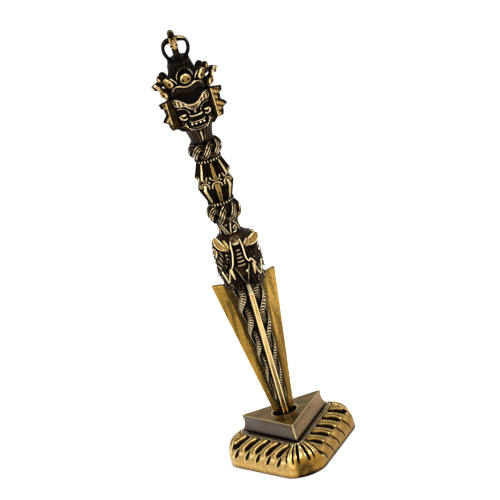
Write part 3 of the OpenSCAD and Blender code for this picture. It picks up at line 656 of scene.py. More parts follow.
def rim():
    """A fine rope on the edge of the ledge, and short ticks across the ledge behind it."""
    curl = np.radians(column(-80, 150, 16))
    arc = np.cumsum(np.concatenate([[0], np.linalg.norm(np.diff(RIM, axis=0), axis=1)]))[None]
    twist = np.cos(2 * np.pi * (arc / 1.3 + np.degrees(curl) / 240))
    r = 0.42 + 0.1 * twist
    rope = stand_rows(RIM_OUT - 0.2 + r * np.cos(curl), RIM_Z + 0.1 + r * np.sin(curl))
    share = np.concatenate([np.linspace(0.03, 0.3, 9), np.linspace(0.4, 1, 5)])[:, None]
    tick = smooth(0.2, 0.8, np.cos(2 * np.pi * (arc / 1.1 + 0.9 * share))) \
        * between(0, 0.08, 0.3, 0.4, share)
    start = stand_rows([RIM_OUT - 0.66], [RIM_Z + 0.2])
    ledge = start * (1 - share[..., None]) + bore_rows([PLINTH_Z - 0.02]) * share[..., None]
    ledge[..., 2] += 0.16 * tick
    bore = bore_rows([PLINTH_Z - 0.4, RIM_Z])
    # Painted shade darkens the ledge towards the left, where its ticks stand out brighter; painted
    # light keeps it lighter on the right.
    shaded = smooth(5, -25, RIM[:, 0])[None]
    plain = 0.58 + 0.3 * (1 - shaded) * smooth(0.03, 0.08, share) - 0.16 * shaded
    worn = np.concatenate([0.86 + 0.42 * twist, plain + (0.1 + 0.8 * shaded) * tick,
                           np.full((len(bore), len(BASE)), HIDDEN)])
    dress("rope_rim", ORNAMENT, np.concatenate([rope, ledge, bore]), worn, ["bead_rim"], "stand",
          loop=True)


def plinth():
    """A triangle of flat rows whose distance from the axis follows the hollow side, closed over
    the top into the socket and back under the bottom."""
    edge_r, lip_w, side_n, corner_n = 0.5, 0.45, 110, 9
    base, growth = triangle_rows(2, np.linspace(-60, 60, corner_n),
                                 np.linspace(0, 1, side_n + 2)[1:-1])
    s = np.linspace(0, 1, 26)[:-1]
    side = PLINTH_APOTHEM + 0.7 * (1 - s) ** 2 - 4 * 0.5 * PLINTH_HOLLOW * s * (1 - s)
    bend = np.radians(np.linspace(15, 90, 7))
    out = np.concatenate([side, PLINTH_APOTHEM - edge_r + edge_r * np.cos(bend)])
    z = np.concatenate([PLINTH_Z + (STAND_H - PLINTH_Z) * s * 0.965,
                        STAND_H - edge_r + edge_r * np.sin(bend)])
    flat = base[None] * (out[:, None, None] - edge_r) + growth[None] * edge_r
    outer = points(flat[..., 0], flat[..., 1], z[:, None])
    brink = flat[-1]
    angle = np.arctan2(brink[:, 0], -brink[:, 1])[None]
    reach = np.hypot(brink[:, 0], brink[:, 1])[None]
    share = column(0.03, 0.97, 22)
    lip_r = SOCKET_R + lip_w
    top = polar(reach * (1 - share) + lip_r * share, angle,
                STAND_H - 0.12 * np.sin(np.pi * share) ** 2)
    fall = np.radians(column(0, 90, 6))
    lip = polar(lip_r - lip_w * np.sin(fall), angle, STAND_H - 0.35 + 0.35 * np.cos(fall))
    wall = polar(SOCKET_R, angle, np.array([[STAND_H - 2], [STAND_H - 5], [PLINTH_Z + 0.01]]))
    corners = np.arange(3) * (corner_n + side_n) + corner_n // 2
    from_edge = np.min([np.linalg.norm(brink - brink[k], axis=-1) for k in corners], 0)[None]
    upright = 0.2 * bell(from_edge, 0, 0.4) + 0.16 * np.exp(-from_edge / 3)
    rise = np.concatenate([-0.32 * smooth(0.2, 0.04, s),
                           [0.1, 0.26, 0.42, 0.48, 0.42, 0.28, 0.12]])[:, None]
    across = reach - lip_r
    worn = np.concatenate([
        0.4 + np.where(rise > 0, np.maximum(upright, rise), upright + rise),
        0.42 + 0.1 * bell(share * across, 0, 0.5) + 0.4 * bell((1 - share) * across, 0, 0.5),
        np.full((len(lip), len(base)), 1.3), np.full((len(wall), len(base)), -0.8)])
    dress("plinth_block", PLINTH_BRASS, np.concatenate([outer, top, lip, wall]), worn,
          ["plinth"], "stand", "plinth_brass", loop=True)


# The blade

def flange(word, side):
    """A plate that tapers down: a polished band along its edge, two arrises with a groove
    between them on the edge itself, and a thinner field behind the band. Its section is a list
    of distance outwards, distance sideways and wear."""
    z = TIP_Z + (BLADE_TOP - TIP_Z) * column(0, 1, 140)
    above = np.clip((z - STAND_H) / (BLADE_TOP - STAND_H), -0.3, 1)
    shown = np.clip(above, 0, 1)
    reach = FLANGE_LOW + (FLANGE_REACH - FLANGE_LOW) * above
    core = np.maximum(CORE_LOW + (CORE_R - CORE_LOW) * above, 1.2)
    half = FLANGE_T / 2 * (0.92 + 0.2 * (1 - shown))
    band = reach - np.minimum(6.4, 0.62 * (reach - core))
    field = half - 0.45 * smooth(0.03, 0.15, above)
    groove = 0.2 + 0.25 * (1 - shown)
    bed = 0.16 + 0.44 * smooth(0.3, 0.65, shown)
    section = [(core - 0.6, field, 0.0), (band - 1.6, field, 0.05), (band - 0.5, field, 0.14),
               (band - 0.06, half - 0.06, 0.4), (band, half, 0.6), (band + 0.15, half, 0.5),
               (reach - 0.5, half, 0.5), (reach - 0.42, half, 0.55),
               (reach - 0.12, half - 0.14, 0.95), (reach - 0.05, half - 0.2, 1.0),
               (reach, half - 0.34, 0.95), (reach - 0.03, half - 0.46, 0.8),
               (reach - 0.5 * groove, half * 0.58, 0.6),
               (reach - groove, half * 0.38, bed + 0.04),
               (reach - groove, half * 0.04, bed - 0.04)]
    outline = section + [(out, -across, worn) for out, across, worn in section[::-1]]
    p = np.concatenate([points(out, across, z) for out, across, _ in outline], 1)
    worn = np.concatenate([worn + 0 * z for _, _, worn in outline], 1)
    dress("flange_" + word, BLADE_BRASS[word], turn(finer(p, 3), side),
          finer(worn[..., None], 3)[..., 0], slot="blade_brass")


def serpents(word, side):
    """A pair of ribbons that wind round each other on the core, with ribs across them."""
    low, rings, columns = STAND_H + 0.1 * (BLADE_TOP - STAND_H), 340, 32
    piece = Piece("serpents_" + word, ORNAMENT)
    t = np.linspace(0, 1, rings)
    z = low + (BLADE_TOP + 0.6 - low) * t
    size = 0.34 + 0.66 * t
    core = CORE_LOW + (CORE_R - CORE_LOW) * (z - STAND_H) / (BLADE_TOP - STAND_H)
    flat = np.abs(np.cos(ring(columns)))
    rib = smooth(-0.2, 0.6, np.cos(2 * np.pi * t[:, None] * 52 + 1.2 * flat)) \
        * smooth(0.8, 0.66, flat)
    carved = np.maximum(bell(flat, 0.86, 0.12), rib) * (np.sin(ring(columns)) > 0)
    for phase in (0, math.pi):
        winding = 2 * np.pi * 2.4 * t + phase
        r = core + size * (0.5 + 0.7 * np.cos(winding))
        swing = np.radians(29) * np.sin(winding)
        path = points(r * np.cos(swing), r * np.sin(swing), z)
        tape = tube(path, 1.75 * size, 0.6 * size, points(np.cos(swing), np.sin(swing), 0),
                    columns, 0.3 * carved * size[:, None])
        over = (np.cos(winding) * (0.6 + 0.4 * t))[:, None]
        piece.grid(turn(tape, side), 0.3 + (0.42 + 0.12 * over) * carved)
    piece.done()


# The makaras that hold the blade

def makara_radius(z):
    """The block's outline: it swells upwards, then slopes in over the shoulder to the collar."""
    t = np.clip((z - MAKARA_Z) / SHOULDER_H, 0, 1)
    body = 9.3 + 0.6 * t + 4 * 0.3 * t * (1 - t)
    up = np.clip((z - MAKARA_Z - SHOULDER_H) / SHOULDER_SLOPE, 0, 1)
    return body + (5.3 - body) * up


def makara_body():
    """The block with mane strands that sweep up and back from each mouth, and a bare shoulder."""
    a, z = ring(360, 360), column(MAKARA_Z, COLLAR_Z, 160)
    b = np.abs(folded(a))
    mane = smooth(14, 22, b) * (1 - smooth(113.5, 115, z))
    wave = ripple(b / 9.5 + (z - 95) / 5.4 + 0.35 * np.sin(z / 2.3))
    fold = ripple(b / 17 - (z - 95) / 3.1)
    strand = smooth(0.35, 0.95, np.maximum(wave ** 0.7, 0.85 * fold ** 0.8 * smooth(36, 44, b)))
    r = makara_radius(z) - 0.75 * mane * (1 - strand) + 0.15 * mane
    dress("makara_body", ORNAMENT, polar(r, np.radians(a), z),
          0.42 + mane * (0.34 * strand - 0.3 + 0.12 * smooth(0.1, 0.5, column(0, 1, 160))))


def makara_head(word, side):
    """A snout turned up: a ribbed palate between two bright lips, a pearl at the tip, fangs and
    the pointed corners of the mouth beside it, and the lower lips that meet on the blade. The
    front head is taller and further out than the others, and its lips reach the flange."""
    piece = Piece("makara_head_" + word, ORNAMENT)
    foremost = side == 0
    tip, back = (117.2, 0) if foremost else (113.0, 1.1)
    # The front head's mouth corners are brighter than the other heads'.
    wide, inset, corner_brightness = (1.0, 0.0, 0.88) if foremost else (0.84, 1.3, 0.5)

    def add(p, wear_and_painted_light):
        """Adds a grid, set back above the jaw."""
        p = p - np.array([back, 0, 0]) * smooth(98, 103, p[..., 2:3])
        piece.grid(turn(p, side), wear_and_painted_light)

    def rope(knots, width, wear_and_painted_light, n=60):
        """Adds a round cord through a few points."""
        add(tube(curve(knots, n), width, columns=14), wear_and_painted_light)

    z = np.linspace(94.0, tip - 0.4, 60)
    half = np.interp(z, [94, 101, 104, 107, 112, 117.2], [2.6, 4.2, 4.6, 3.9, 3.0, 2.3])
    front = np.interp(z, [94, 100, 105, 112, 117.2], [10.2, 10.4, 10.9, 11.0, 11.2])
    floor = np.interp(z, [94, 103, 112, 117.2], [9.6, 9.4, 9.7, 10.2])
    section = [(6.5, -half), (front - 0.5, -half), (front, -half + 0.4), (floor, -half + 0.9),
               (floor, half - 0.9), (front, half - 0.4), (front - 0.5, half), (6.5, half)]
    add(finer(np.stack([points(x, y, z) for x, y in section], 1), 4), 0.3)
    lip_w = np.interp(np.linspace(0, 1, 60), [0, 0.12, 0.8, 1], [0.28, 0.36, 0.36, 0.3])
    for s in (-1, 1):
        lip = [(10.0, s * 5.9, 103.3), (10.7, s * 4.7, 105.0), (11.1, s * 3.9, 107)]
        if foremost and s == 1:
            lip = [(9.8, 6.8, 103.0), (10.6, 5.4, 106.0), (10.9, 4.7, 106.7), (11.0, 4.0, 105.8),
                   (11.1, 2.9, 107.8)]
        rope(lip + [(11.2, s * 2.8, 112), (11.3, s * 2.7, tip - 2), (11.4, s * 2.2, tip + 0.9)],
             lip_w, 0.94)
        rope([(10.9, s * 3.6, 104.2), (11.4, s * 2.4, 101.5), (12.0, s * 1.5, 98.6),
              (12.6, s * 0.8, 96.6)], 0.22, 0.66)
        rope([(9.9, s * 6.0 * wide, 104.0), (10.0 - inset, s * (6.8 - 0.3 * s) * wide, 100.2),
              (9.8 - inset, s * (7.9 - 0.3 * s) * wide, 97.6),
              (8.9 - inset, s * (8.7 - 0.1 * s) * wide, 99.6), (6.8, s * 9.8 * wide, 103.2)],
             0.3, corner_brightness)
        cheek = curve([(9.0, s * 7.6 * wide, 99.0), (8.2, s * 8.0 * wide, 101),
                       (7.2, s * 8.4 * wide, 103.6)], 24)
        add(tube(cheek, np.linspace(0.4, 1.5, 24), 0.5, (1, s * 0.8, 0)), 0.36)
        rope([(9.2, s * 7.6 * wide, 99.6), (8.8, s * 8.1 * wide, 102.2)], 0.22, 0.7, 20)
    if foremost:
        wedge = curve([(11.6, 0, 97.6), (13.2, 0, 96.0), (15.6, 0, 93.6), (17.7, 0, 91.3)], 30)
        edges = bell(np.abs(np.cos(ring(24))), 0.85, 0.16)
        add(tube(wedge, np.linspace(0.6, 1.1, 30), 0.9, columns=24),
            0.36 + 0.2 * edges + (0.62 - 0.2 * edges) * smooth(0.25, 0.7, column(0, 1, 30)))
        out = np.linspace(9.5, 17.3, 24)
        top = np.interp(out, [11.6, 13.2, 15.6, 17.7], [97.4, 95.8, 93.4, 91.4])
        web = [(-0.55, 91.0), (0.55, 91.0), (0.55, top), (-0.55, top)]
        add(finer(np.stack([points(out, y, h) for y, h in web], 1), 4), 0.36)
    arch = dome(np.linspace(-1, 1, 15))
    for k in range(5):
        w = 2.2 - 0.22 * k
        rib = points(9.9 + 0.5 * arch, np.linspace(-w, w, 15) + 0.2,
                     104.8 + k * (tip - 107.6) / 4.9 - 0.25 * arch)
        add(tube(rib, 0.58 * (0.4 + 0.6 * arch), ref=(0, 0, 1), columns=12), 0.7)
    v, u = ball_angles(40, 60)
    pearl = ball((10.6, 0.1, tip + 0.5), (1.6, 2.5, 2.8), 40, 60, 1 - 0.25 * smooth(0.9, 0.2, v))
    aside = folded(u, 2 * np.pi)
    dots = sum(dark * np.exp(-((v - down) ** 2 + (aside - right) ** 2) / size)
               for down, right, size, dark in ((0.8, 0.2, 0.03, 1), (1.15, 0.55, 0.03, 1),
                                               (1.4, -0.4, 0.05, 0.6)))
    add(pearl, 0.61 + 0.16 * bell(v, 2.1, 0.2) + 0.1 * bell(v, 0, 0.6) - 0.5 * dots)
    add(ball((11.0, 1.7, 101.2), (0.7, 0.6, 0.9)), 0.9)
    piece.done()


def makara_trim():
    """Ears of two leaves, fangs, eyes under a brow, and curls of the mane between the heads."""
    ears, fangs = Piece("makara_ears", SKULL_BRASS), Piece("makara_tusks", SKULL_BRASS)
    eyes, curls = Piece("makara_eyes", ORNAMENT), Piece("makara_curls", ORNAMENT)
    cross = ring(40)
    hollow = smooth(0.86, 0.7, np.abs(np.cos(cross))) * (np.sin(cross) > 0)
    vein = bell(np.cos(cross), 0.1, 0.1) * (np.sin(cross) > 0)
    leaves = ((-1, (9.4, 5.2, 114.0), (7.2, 8.8, 120.8), 0.9, 2.0),
              (-1, (9.9, 3.9, 113.6), (8.8, 5.6, 118.8), 0.6, 1.9),
              (1, (9.3, 5.0, 114.2), (5.6, 11.4, 116.4), 0.8, 2.5),
              (1, (9.8, 3.6, 113.2), (9.4, 6.0, 116.8), 0.2, 1.5))
    for side in FACES:
        for s, root, tip, out, wide in leaves:
            root, tip = (np.array([x, s * y, z]) for x, y, z in (root, tip))
            bend = np.array([0.8, s * out, -0.8])
            path = curve([root, 0.6 * root + 0.4 * tip + 0.7 * bend,
                          0.25 * root + 0.75 * tip + 0.6 * bend, tip], 44)
            leaf = tube(path, leaf_widths(wide, 0.06, 0.99, 44), 0.55, (1, s * 0.6, 0), 40,
                        0.15 * vein - 0.32 * hollow) - np.array([1.0, 0, 2.6]) * (side != 0)
            ears.grid(turn(leaf, side), 0.84 - 0.34 * hollow + 0.14 * vein)
        back = 0 if side == 0 else 1.4
        for s in (-1, 1):
            # The front head's fangs are brighter than the other heads'.
            fang = curve([(9.8 - back, s * 5.6, 104.0), (10.7 - back, s * 5.4, 101.6),
                          (10.6 - back, s * 4.9, 98.6)], 30)
            fangs.grid(turn(tube(fang, 0.95 * np.linspace(1, 0.25, 30) ** 0.8, columns=18), side),
                       0.72 if side == 0 else 0.3)
            # Painted highlight: on each head the left eye and the left brow curls are brighter
            # than the right ones.
            for out, z, size in ((9.2, 109.2, 0.4), (9.0, 111.1, 0.5)):
                eyes.grid(turn(ball((out, s * 5.6, z), (0.6, size, size)), side),
                          0.95 if s < 0 else 0.45)
            for k in range(4):
                low = (7.7 - 0.3 * k, s * (7.4 + 0.65 * k), 110.0 - 2.2 * k)
                high = (7.1 - 0.3 * k, s * (8.5 + 0.75 * k), 113.8 - 2.4 * k)
                middle = (0.5 * (low[0] + high[0]) + 0.9, 0.5 * (low[1] + high[1]),
                          112.0 - 2.3 * k)
                eyes.grid(turn(tube(curve([low, middle, high], 24), 0.25, columns=10), side),
                          0.72 if s < 0 else 0.46)
    u, v = ring(36), column(0.05, np.pi - 0.05, 26)
    places = ((94.6, 1.9, 9.2, 15), (99.4, 1.8, 9.2, 15), (105.2, 1.7, 9.6, 15),
              (110.0, 1.6, 9.6, 9))
    for side in HOLLOWS:
        for s in (-1, 1):
            for z, r, out, aside in places:
                coil = np.cos(s * u + 11 * np.sin(v)) * (v < 1.6)
                cap = points(out + 1.4 * np.cos(v) + 0.22 * coil, r * np.sin(v) * np.cos(u),
                             z + r * np.sin(v) * np.sin(u))
                curls.grid(turn(sideways(cap, s * aside), side), 0.36 + 0.34 * coil)
    for piece in (ears, fangs, eyes, curls):
        piece.done()


# Collar, knots and grip

def collar():
    """A waist with leaves: a seam on each side and two scrolls beside it."""
    a, z = ring(300, 360), column(COLLAR_Z, LOWER_KNOT_Z, 80)
    y, h = np.radians(folded(a)) * 5.3, z - COLLAR_Z
    chains = (([(-0.3, -0.2), (0.1, 2), (0.9, 6.2)], 0.8, 0.5),
              ([(1.1, 0.4), (2.6, 0.6), (3.4, 2.0), (2.6, 3.6), (1.6, 2.8), (2.1, 1.8)],
               0.75, 0.5),
              ([(-1.2, 0.2), (-2.2, 2.4), (-3.9, 5.9)], 0.8, 0.5),
              ([(-2.6, 0.2), (-3.5, 2.4), (-5.2, 5.2)], 0.7, 0.45),
              ([(1.9, 6.0), (3.6, 4.6), (5.0, 2.0), (5.4, 0)], 0.75, 0.5))
    beads = blob(y, h, -1.6, 4.9, 0.9, 1.2, 0.55) + blob(y, h, 3.3, 5.4, 0.8, 0.7, 0.4)
    relief = np.maximum.reduce([beads] + [cord(y, h, *chain) for chain in chains])
    r = 4.75 + relief + 0.25 * np.abs(h / 3.1 - 1) ** 2
    dress("collar", ORNAMENT, polar(r, np.radians(a), z), -0.14, reach=0.9)


def knot(name, low, h, phase):
    """Two wavy straps that cross in turn, each with two grooves along it, on a bulging core."""
    waves, half_w, ride = 4, 1.6, 0.65
    swing = h / 2 - half_w * 0.75
    core = KNOT_R - 1.1 - ride
    steep = waves * swing / core
    a, z = ring(480, 360), column(low, low + h, 120)
    out = core - 1.1 + 0 * a * z
    worn = -0.2 + 0 * out
    for start in (phase, phase + 180):
        w = np.radians(waves * a + start)
        off = (z - low - h / 2 - swing * np.sin(w)) / np.sqrt(1 + (steep * np.cos(w)) ** 2)
        flat = smooth(half_w, half_w - 0.35, np.abs(off))
        ribs = np.cos(2 * np.pi * off / 1.08)
        strap = core + (0.85 + 0.2 * ribs + 0.25 * dome(off / half_w)) * flat + ride * np.cos(w)
        over = (flat > 0.02) & (strap > out)
        out = np.where(over, strap, out)
        worn = np.where(over, 0.4 + 0.26 * ribs + 0.14 * np.cos(w) - 0.5 * (1 - flat)
                        + 0.1 * np.sin(2.6 * w + z), worn)
    out = out - 1.7 * np.abs(2 * (z - low) / h - 1) ** 2.4
    dress(name, ORNAMENT, polar(out, np.radians(a), z), worn)


def bead_ring(name, low, h, reach, beads):
    """A ring of upright beads, each a little tilted, over a dark groove."""
    a, z = ring(480, 360), column(low, low + h, 30)
    pitch = 2 * np.pi * reach / beads
    across = ((a * beads / 360 + 0.18 * (z - low) / h) % 1 - 0.5) * pitch
    bead = blob(across, z - low, 0, h / 2, min(0.36 * pitch, 0.9), 0.47 * h, 1.0)
    dress(name, ORNAMENT, polar(reach - 1.0 + bead, np.radians(a), z),
          0.08 + 0.66 * bead + 0.1 * np.sin(np.radians(a * 3.5)))


def grip_half(name, low, h, up):
    """Eight petals whose widest place is a little way from the waist. Each has a raised rib down
    its middle, dark hollow flanks and a hooped rim at its waist end."""
    a, z = ring(480, 360), column(low, low + h, 110)
    t = (z - low) / h if up else (low + h - z) / h
    env = np.interp(t, [0, 0.1, 0.22 if up else 0.36, 1], [7.3, 7.7, 8.75, 6.1])
    y = np.radians(folded(a, 45)) * env
    side_y = np.abs(y)
    edge = np.radians(22.5) * env
    rib_w = np.interp(t, [0.1, 0.3, 1], [0.85, 0.8, 0.3] if up else [1.15, 1.1, 0.5])
    # Painted highlight and painted shade: ribs 34 degrees or more from the front are brightened,
    # and those round the sides, from 62 to 115 degrees, darkened.
    from_front = np.abs(folded(a, 360))
    turning = smooth(12, 34, from_front)
    aside = turning - 2.4 * between(62, 74, 100, 115, from_front)
    rib_w = rib_w * (1 - 0.4 * turning)
    rib = smooth(rib_w + 0.3, rib_w, side_y) * smooth(0.09, 0.14, t)
    rib_edge = bell(side_y, rib_w, 0.28) * smooth(0.1, 0.16, t)
    split = bell(y, 0, 0.2) * smooth(0.4, 0.6, t) * (not up)
    hoop = cord(y, t * h, [(-2.5, 2.9), (-2.2, 1.6), (-1.2, 0.7), (0, 0.45), (1.2, 0.7),
                           (2.2, 1.6), (2.5, 2.9)], 0.8, 1.0)
    flank = np.sin(np.pi * np.clip((side_y - rib_w) / (edge - rib_w), 0, 1)) ** 0.6
    hollow = env - 1.5 * flank - 0.35 * bell(side_y, edge, 0.35)
    r = np.maximum(hollow * (1 - rib) + (env + 0.15 * rib_edge - 0.25 * split) * rib,
                   (env - 0.75 + 0.95 * hoop) * (hoop > 0))
    worn = -0.1 + (0.58 + 0.3 * aside) * rib + 0.12 * rib_edge - 0.4 * split
    dress(name + "_petals", SKULL_BRASS, polar(r, np.radians(a), z),
          np.where(hoop > 0.05, 0.1 + 0.72 * hoop, worn), [name + "_core", name + "_petals"])


def neck():
    """The throat: it widens to the head, with a seam in front and folds that sweep outwards."""
    a, z = ring(300, 360), column(NECK_Z, HEAD_Z, 64)
    t = (z - NECK_Z) / (HEAD_Z - NECK_Z)
    b = np.abs(folded(a))
    seam = bell(b, 0, 3.2)
    fold = ripple(b / 15 - 0.9 * t) ** 0.8 * smooth(8, 14, b)
    r = 5.1 + 2.0 * t ** 1.6 + 0.45 * seam * smooth(0.1, 0.3, t) * smooth(0.85, 0.7, t) \
        + 0.32 * fold
    dress("neck", ORNAMENT, polar(r, np.radians(a), z), 0.3 * seam - 0.2, reach=1.0)


# The three-faced head

BROW = [(-3, 191.0), (0, 191.0), (2.2, 191.5), (4.0, 193.0), (5.6, 194.3), (7.4, 194.7),
        (8.4, 193.9), (8.7, 191.8), (7.8, 189.9), (6, 189.9), (4, 190.1), (2.8, 188.9),
        (1.6, 187.9), (0, 187.7), (-3, 187.7)]
TEETH = (-3.1, -1.15, 1.15, 3.1)

# Lids, bags and wrinkles round an eye: a chain, its width, its height and how bright it is

EYE_LINES = (([(2.6, 186.4), (3.6, 188.0), (5.4, 188.9), (7.2, 188.9), (8.0, 188.0)],
              0.85, 0.95, 0.95),
             ([(4.3, 184.0), (5.2, 183.4), (6.2, 183.6), (7.1, 185.0)], 1.0, 0.95, 0.95),
             ([(3.4, 182.6), (5.2, 181.9), (7.4, 182.7), (9.0, 184.6)], 0.6, 0.45, 0.45),
             ([(4.4, 180.9), (6.4, 180.9), (8.4, 182.0), (9.6, 183.8)], 0.6, 0.4, 0.4),
             ([(8.8, 186.4), (9.6, 188.8), (9.6, 191)], 0.6, 0.35, 0.35))


def face(word, side):
    """A third of the head. The surface is a radius over the angle from the middle of the face and
    the height: a rounded mask over a narrower throat, with brows, nose, mouth and wrinkles."""
    a = np.radians(np.linspace(-60, 60, 230))[None, :]
    z = np.concatenate([np.linspace(HEAD_Z, HEAD_Z + 23.2, 186),
                        np.linspace(HEAD_Z + 23.4, TOPKNOT_Z + 0.4, 6)])[:, None]
    y = HEAD_R * np.sin(a) + 0 * z
    side_y = np.abs(y)
    mask = HEAD_R - 0.9 * smooth(196, 201, z) - 0.5 * smooth(0.8, 1.05, np.abs(a)) + 0 * y
    jaw = 176.7 + 1.8 * np.clip(side_y / 8, 0, 1.3) ** 2.2
    throat = 7.3 + 0.3 * (z - HEAD_Z) / 4
    jaw_line = cord(side_y, z, [(5.6, 180.4), (7.4, 179.8), (9.4, 180.2)], 0.6, 0.4)
    edge = inside(side_y, z, BROW)
    pit = 0.55 * smooth(0.55, 0.85, edge) * smooth(3.2, 4.4, side_y)
    stripes = 0.4 * ripple((side_y - 4.2) / 1.7) * smooth(0.5, 0.8, edge) \
        * smooth(3.6, 4.6, side_y)
    socket = 1.3 * np.exp(-((side_y - 5.4) / 2.4) ** 2 - ((z - 187.2) / 1.9) ** 2)
    r = throat + (mask - throat) * smooth(jaw - 0.5, jaw + 0.9, z) + jaw_line \
        + 1.25 * smooth(-0.15, 0.5, edge) - pit + stripes \
        + blob(y, z, 0, 188.5, 1.3, 0.9, 0.5) - socket
    lids = 0 * r
    for chain, width, height, bright in EYE_LINES:
        ridge = cord(side_y, z, chain, width, height)
        r = r + ridge
        lids = np.maximum(lids, bright * ridge / height)
    nose = blob(y, z, 0, 187.0, 0.9, 1.5, 1.6)
    wings = cord(side_y, z, [(0, 184.9), (2.0, 185.0), (2.6, 185.3)], 1.3, 1.7)
    upper = cord(side_y, z, [(0, 181.6), (2.8, 181.6), (3.5, 182.4)], 0.7, 0.9)
    groove = cord(side_y, z, [(2.7, 181.9), (2.5, 184.0)], 0.6, 0.6)
    mouth_in = smooth(0, 0.4, np.minimum(4.9 - side_y, 1.3 - np.abs(z - 180.1)))
    lower = cord(side_y, z, [(4.0, 179.0), (3.0, 178.6), (0, 178.5)], 0.6, 0.8)
    chin = cord(side_y, z, [(0, 177.2), (1.9, 177.4), (3.5, 177.9), (4.9, 179.2), (5.6, 180.6),
                            (5.5, 181.6)], 0.75, 0.9)
    r = r + np.maximum(nose, wings) + np.maximum.reduce([upper, groove, lower, chin]) \
        - 1.1 * mouth_in
    for x in TEETH:
        r = r + blob(y, z, x, 180.2, 0.8, 1.05 if abs(x) > 2 else 0.8, 1.3)
    cheek = smooth(5.8, 6.6, side_y) * smooth(9.4, 8.8, side_y) * smooth(186.0, 184.8, z) \
        * smooth(177.4, 178.6, z)
    hatch = cheek * ripple((z - 0.8 * side_y) / 1.3) ** 2
    hair = smooth(9.2, 9.6, side_y)
    r = r + 0.3 * hatch - 0.35 * hair + 0.4 * hair * ripple((z + 2.2 * side_y) / 1.7)
    teeth = np.maximum.reduce([blob(y, z, x, 180.2, 0.8, 0.9, 1.0) for x in TEETH])
    inner = smooth(0.5, 0.8, edge)
    lines = np.maximum.reduce([lids, 0.9 * wings / 1.7, 0.8 * nose / 1.6, 0.85 * upper / 0.9,
                               0.65 * groove / 0.6, 0.75 * lower / 0.8, 0.95 * chin / 0.9,
                               2.2 * teeth, 0.6 * jaw_line / 0.4])
    worn = 0.3 + 0.52 * smooth(0.3, 0.95, lines) + 0.58 * bell(edge, 0.4, 0.3) + 0.31 * inner \
        + 0.34 * stripes * inner - 0.5 * mouth_in * (teeth < 0.1) \
        - 0.12 * smooth(191, 193, z) * (edge < 0) \
        - 0.2 * np.clip(socket, 0, 1) * (lines < 0.3) - 0.12 * hair \
        + 0.35 * smooth(0.2, 0.6, teeth) + 0.32 * hatch
    back_n = 9
    back = polar(5.0, np.radians(np.linspace(60, -60, back_n))[None, :], z)
    p = np.concatenate([polar(r, a, z), back], 1)
    dress("face_" + word, ORNAMENT, turn(local(p), side),
          np.concatenate([worn, np.full((len(z), back_n), HIDDEN)], 1),
          ["face_" + word, "head_core", "brows", "noses", "mouths"])


def head_trim():
    """Bulging eyes, the double wavy headband and the fins of flames behind the ears."""
    eyes, band = Piece("eyes", SKULL_BRASS), Piece("headband", ORNAMENT)
    flames = Piece("ear_flames", SKULL_BRASS)
    lid = 0.1 + 0.72 * smooth(1.25, 1.6, ball_angles(26, 36)[0])
    a = np.radians(np.linspace(-57, 57, 150))
    wave = 0.6 * np.cos(3 * a) - 0.75 * np.cos(6 * a) - 3.6 * smooth(0.68, 1.02, np.abs(a))
    fade = 0.2 * smooth(0.72, 0.95, np.abs(a))[:, None]
    for side in FACES:
        for s in (-1, 1):
            eyes.grid(turn(ball((8.9, s * 5.5, 186.3), (1.7, 1.6, 1.3), 26, 36), side), lid)
        for row, thick, worn in ((-0.7, 0.3, 0.5), (0, 0.4, 0.44), (1, 0.55, 0.76)):
            r = 10.0 - 0.15 * row
            path = points(r * np.cos(a), r * np.sin(a), 198.3 + row * 1.5 + wave)
            band.grid(turn(tube(path, thick, columns=14), side), worn - fade)
    z = column(HEAD_Z + 0.3, HEAD_Z + 18.0, 130)
    reach = np.interp(z, [176.4, 179.0, 179.5, 181.6, 182.6, 183.6, 185.2, 186.4, 187.4, 188.0,
                          190.2, 190.8, 191.4, 192.2, 194.2],
                      [9.5, 12.0, 14.8, 15.5, 15.4, 16.2, 18.4, 17.4, 15.8, 15.6, 16.0, 15.6,
                       16.6, 17.6, 17.9])
    share = np.linspace(0, 1, 48)[None, :]
    x = 7.6 + (reach - 7.6) * share
    hair = 0.3 * ripple(x / 1.3 + 0.25 * np.sin(z)) * (1 - smooth(12, 12.6, x))
    for side, ear_x in zip(HOLLOWS, (12.9, 13.6, 15.0)):
        rib = 0.55 * bell(x, ear_x, 0.45)
        flute = 0.45 * ripple((z - HEAD_Z) / 2.95 - 0.1 + 0.1 * (x - 13)) \
            * smooth(ear_x + 0.2, ear_x + 1, x)
        thick = (1.25 + rib + flute + hair) * np.sqrt(np.clip(1 - share ** 14, 0.02, 1))
        fin = np.concatenate([points(x, thick, z), points(x, -thick, z)[:, ::-1]], 1)
        worn = 0.3 + 1.0 * rib + 0.75 * flute + 0.15 * hair - 0.5 * smooth(1.0, 0.3, reach - x)
        flames.grid(turn(fin, side), np.concatenate([worn, worn[:, ::-1]], 1))
    for piece in (eyes, band, flames):
        piece.done()


# Crown and finial

def crown_places():
    """Angle, distance, height, lean and size of the nine upper skulls and the three lower ones,
    then the length and half width of the leaf behind each and how far it curls outwards. The
    leaves stand tallest in front."""
    by_angle = {0: (9.8, 4.2, 0.8), 45: (6.9, 3.7, 1.2), 75: (6.8, 3.2, 2.2),
                120: (4.4, 3.4, 1.2), 165: (4.4, 3.4, 1.2)}
    places = []
    for f in FACES:
        for a in (0, 45, -45):
            small = a == 0 and f != 0
            places.append((f + a, 9.9 + 0.8 * (a != 0), 204.2 - 0.7 * (a != 0) - 2.0 * small,
                           UPPER_LEAN, 0.88 if small else 1.0,
                           *by_angle[abs(folded(f + a, 360))]))
    return places + [(f, 12.6, 198.4, LOW_LEAN, 0.9, 6.0, 3.1, 0.8) for f in HOLLOWS]


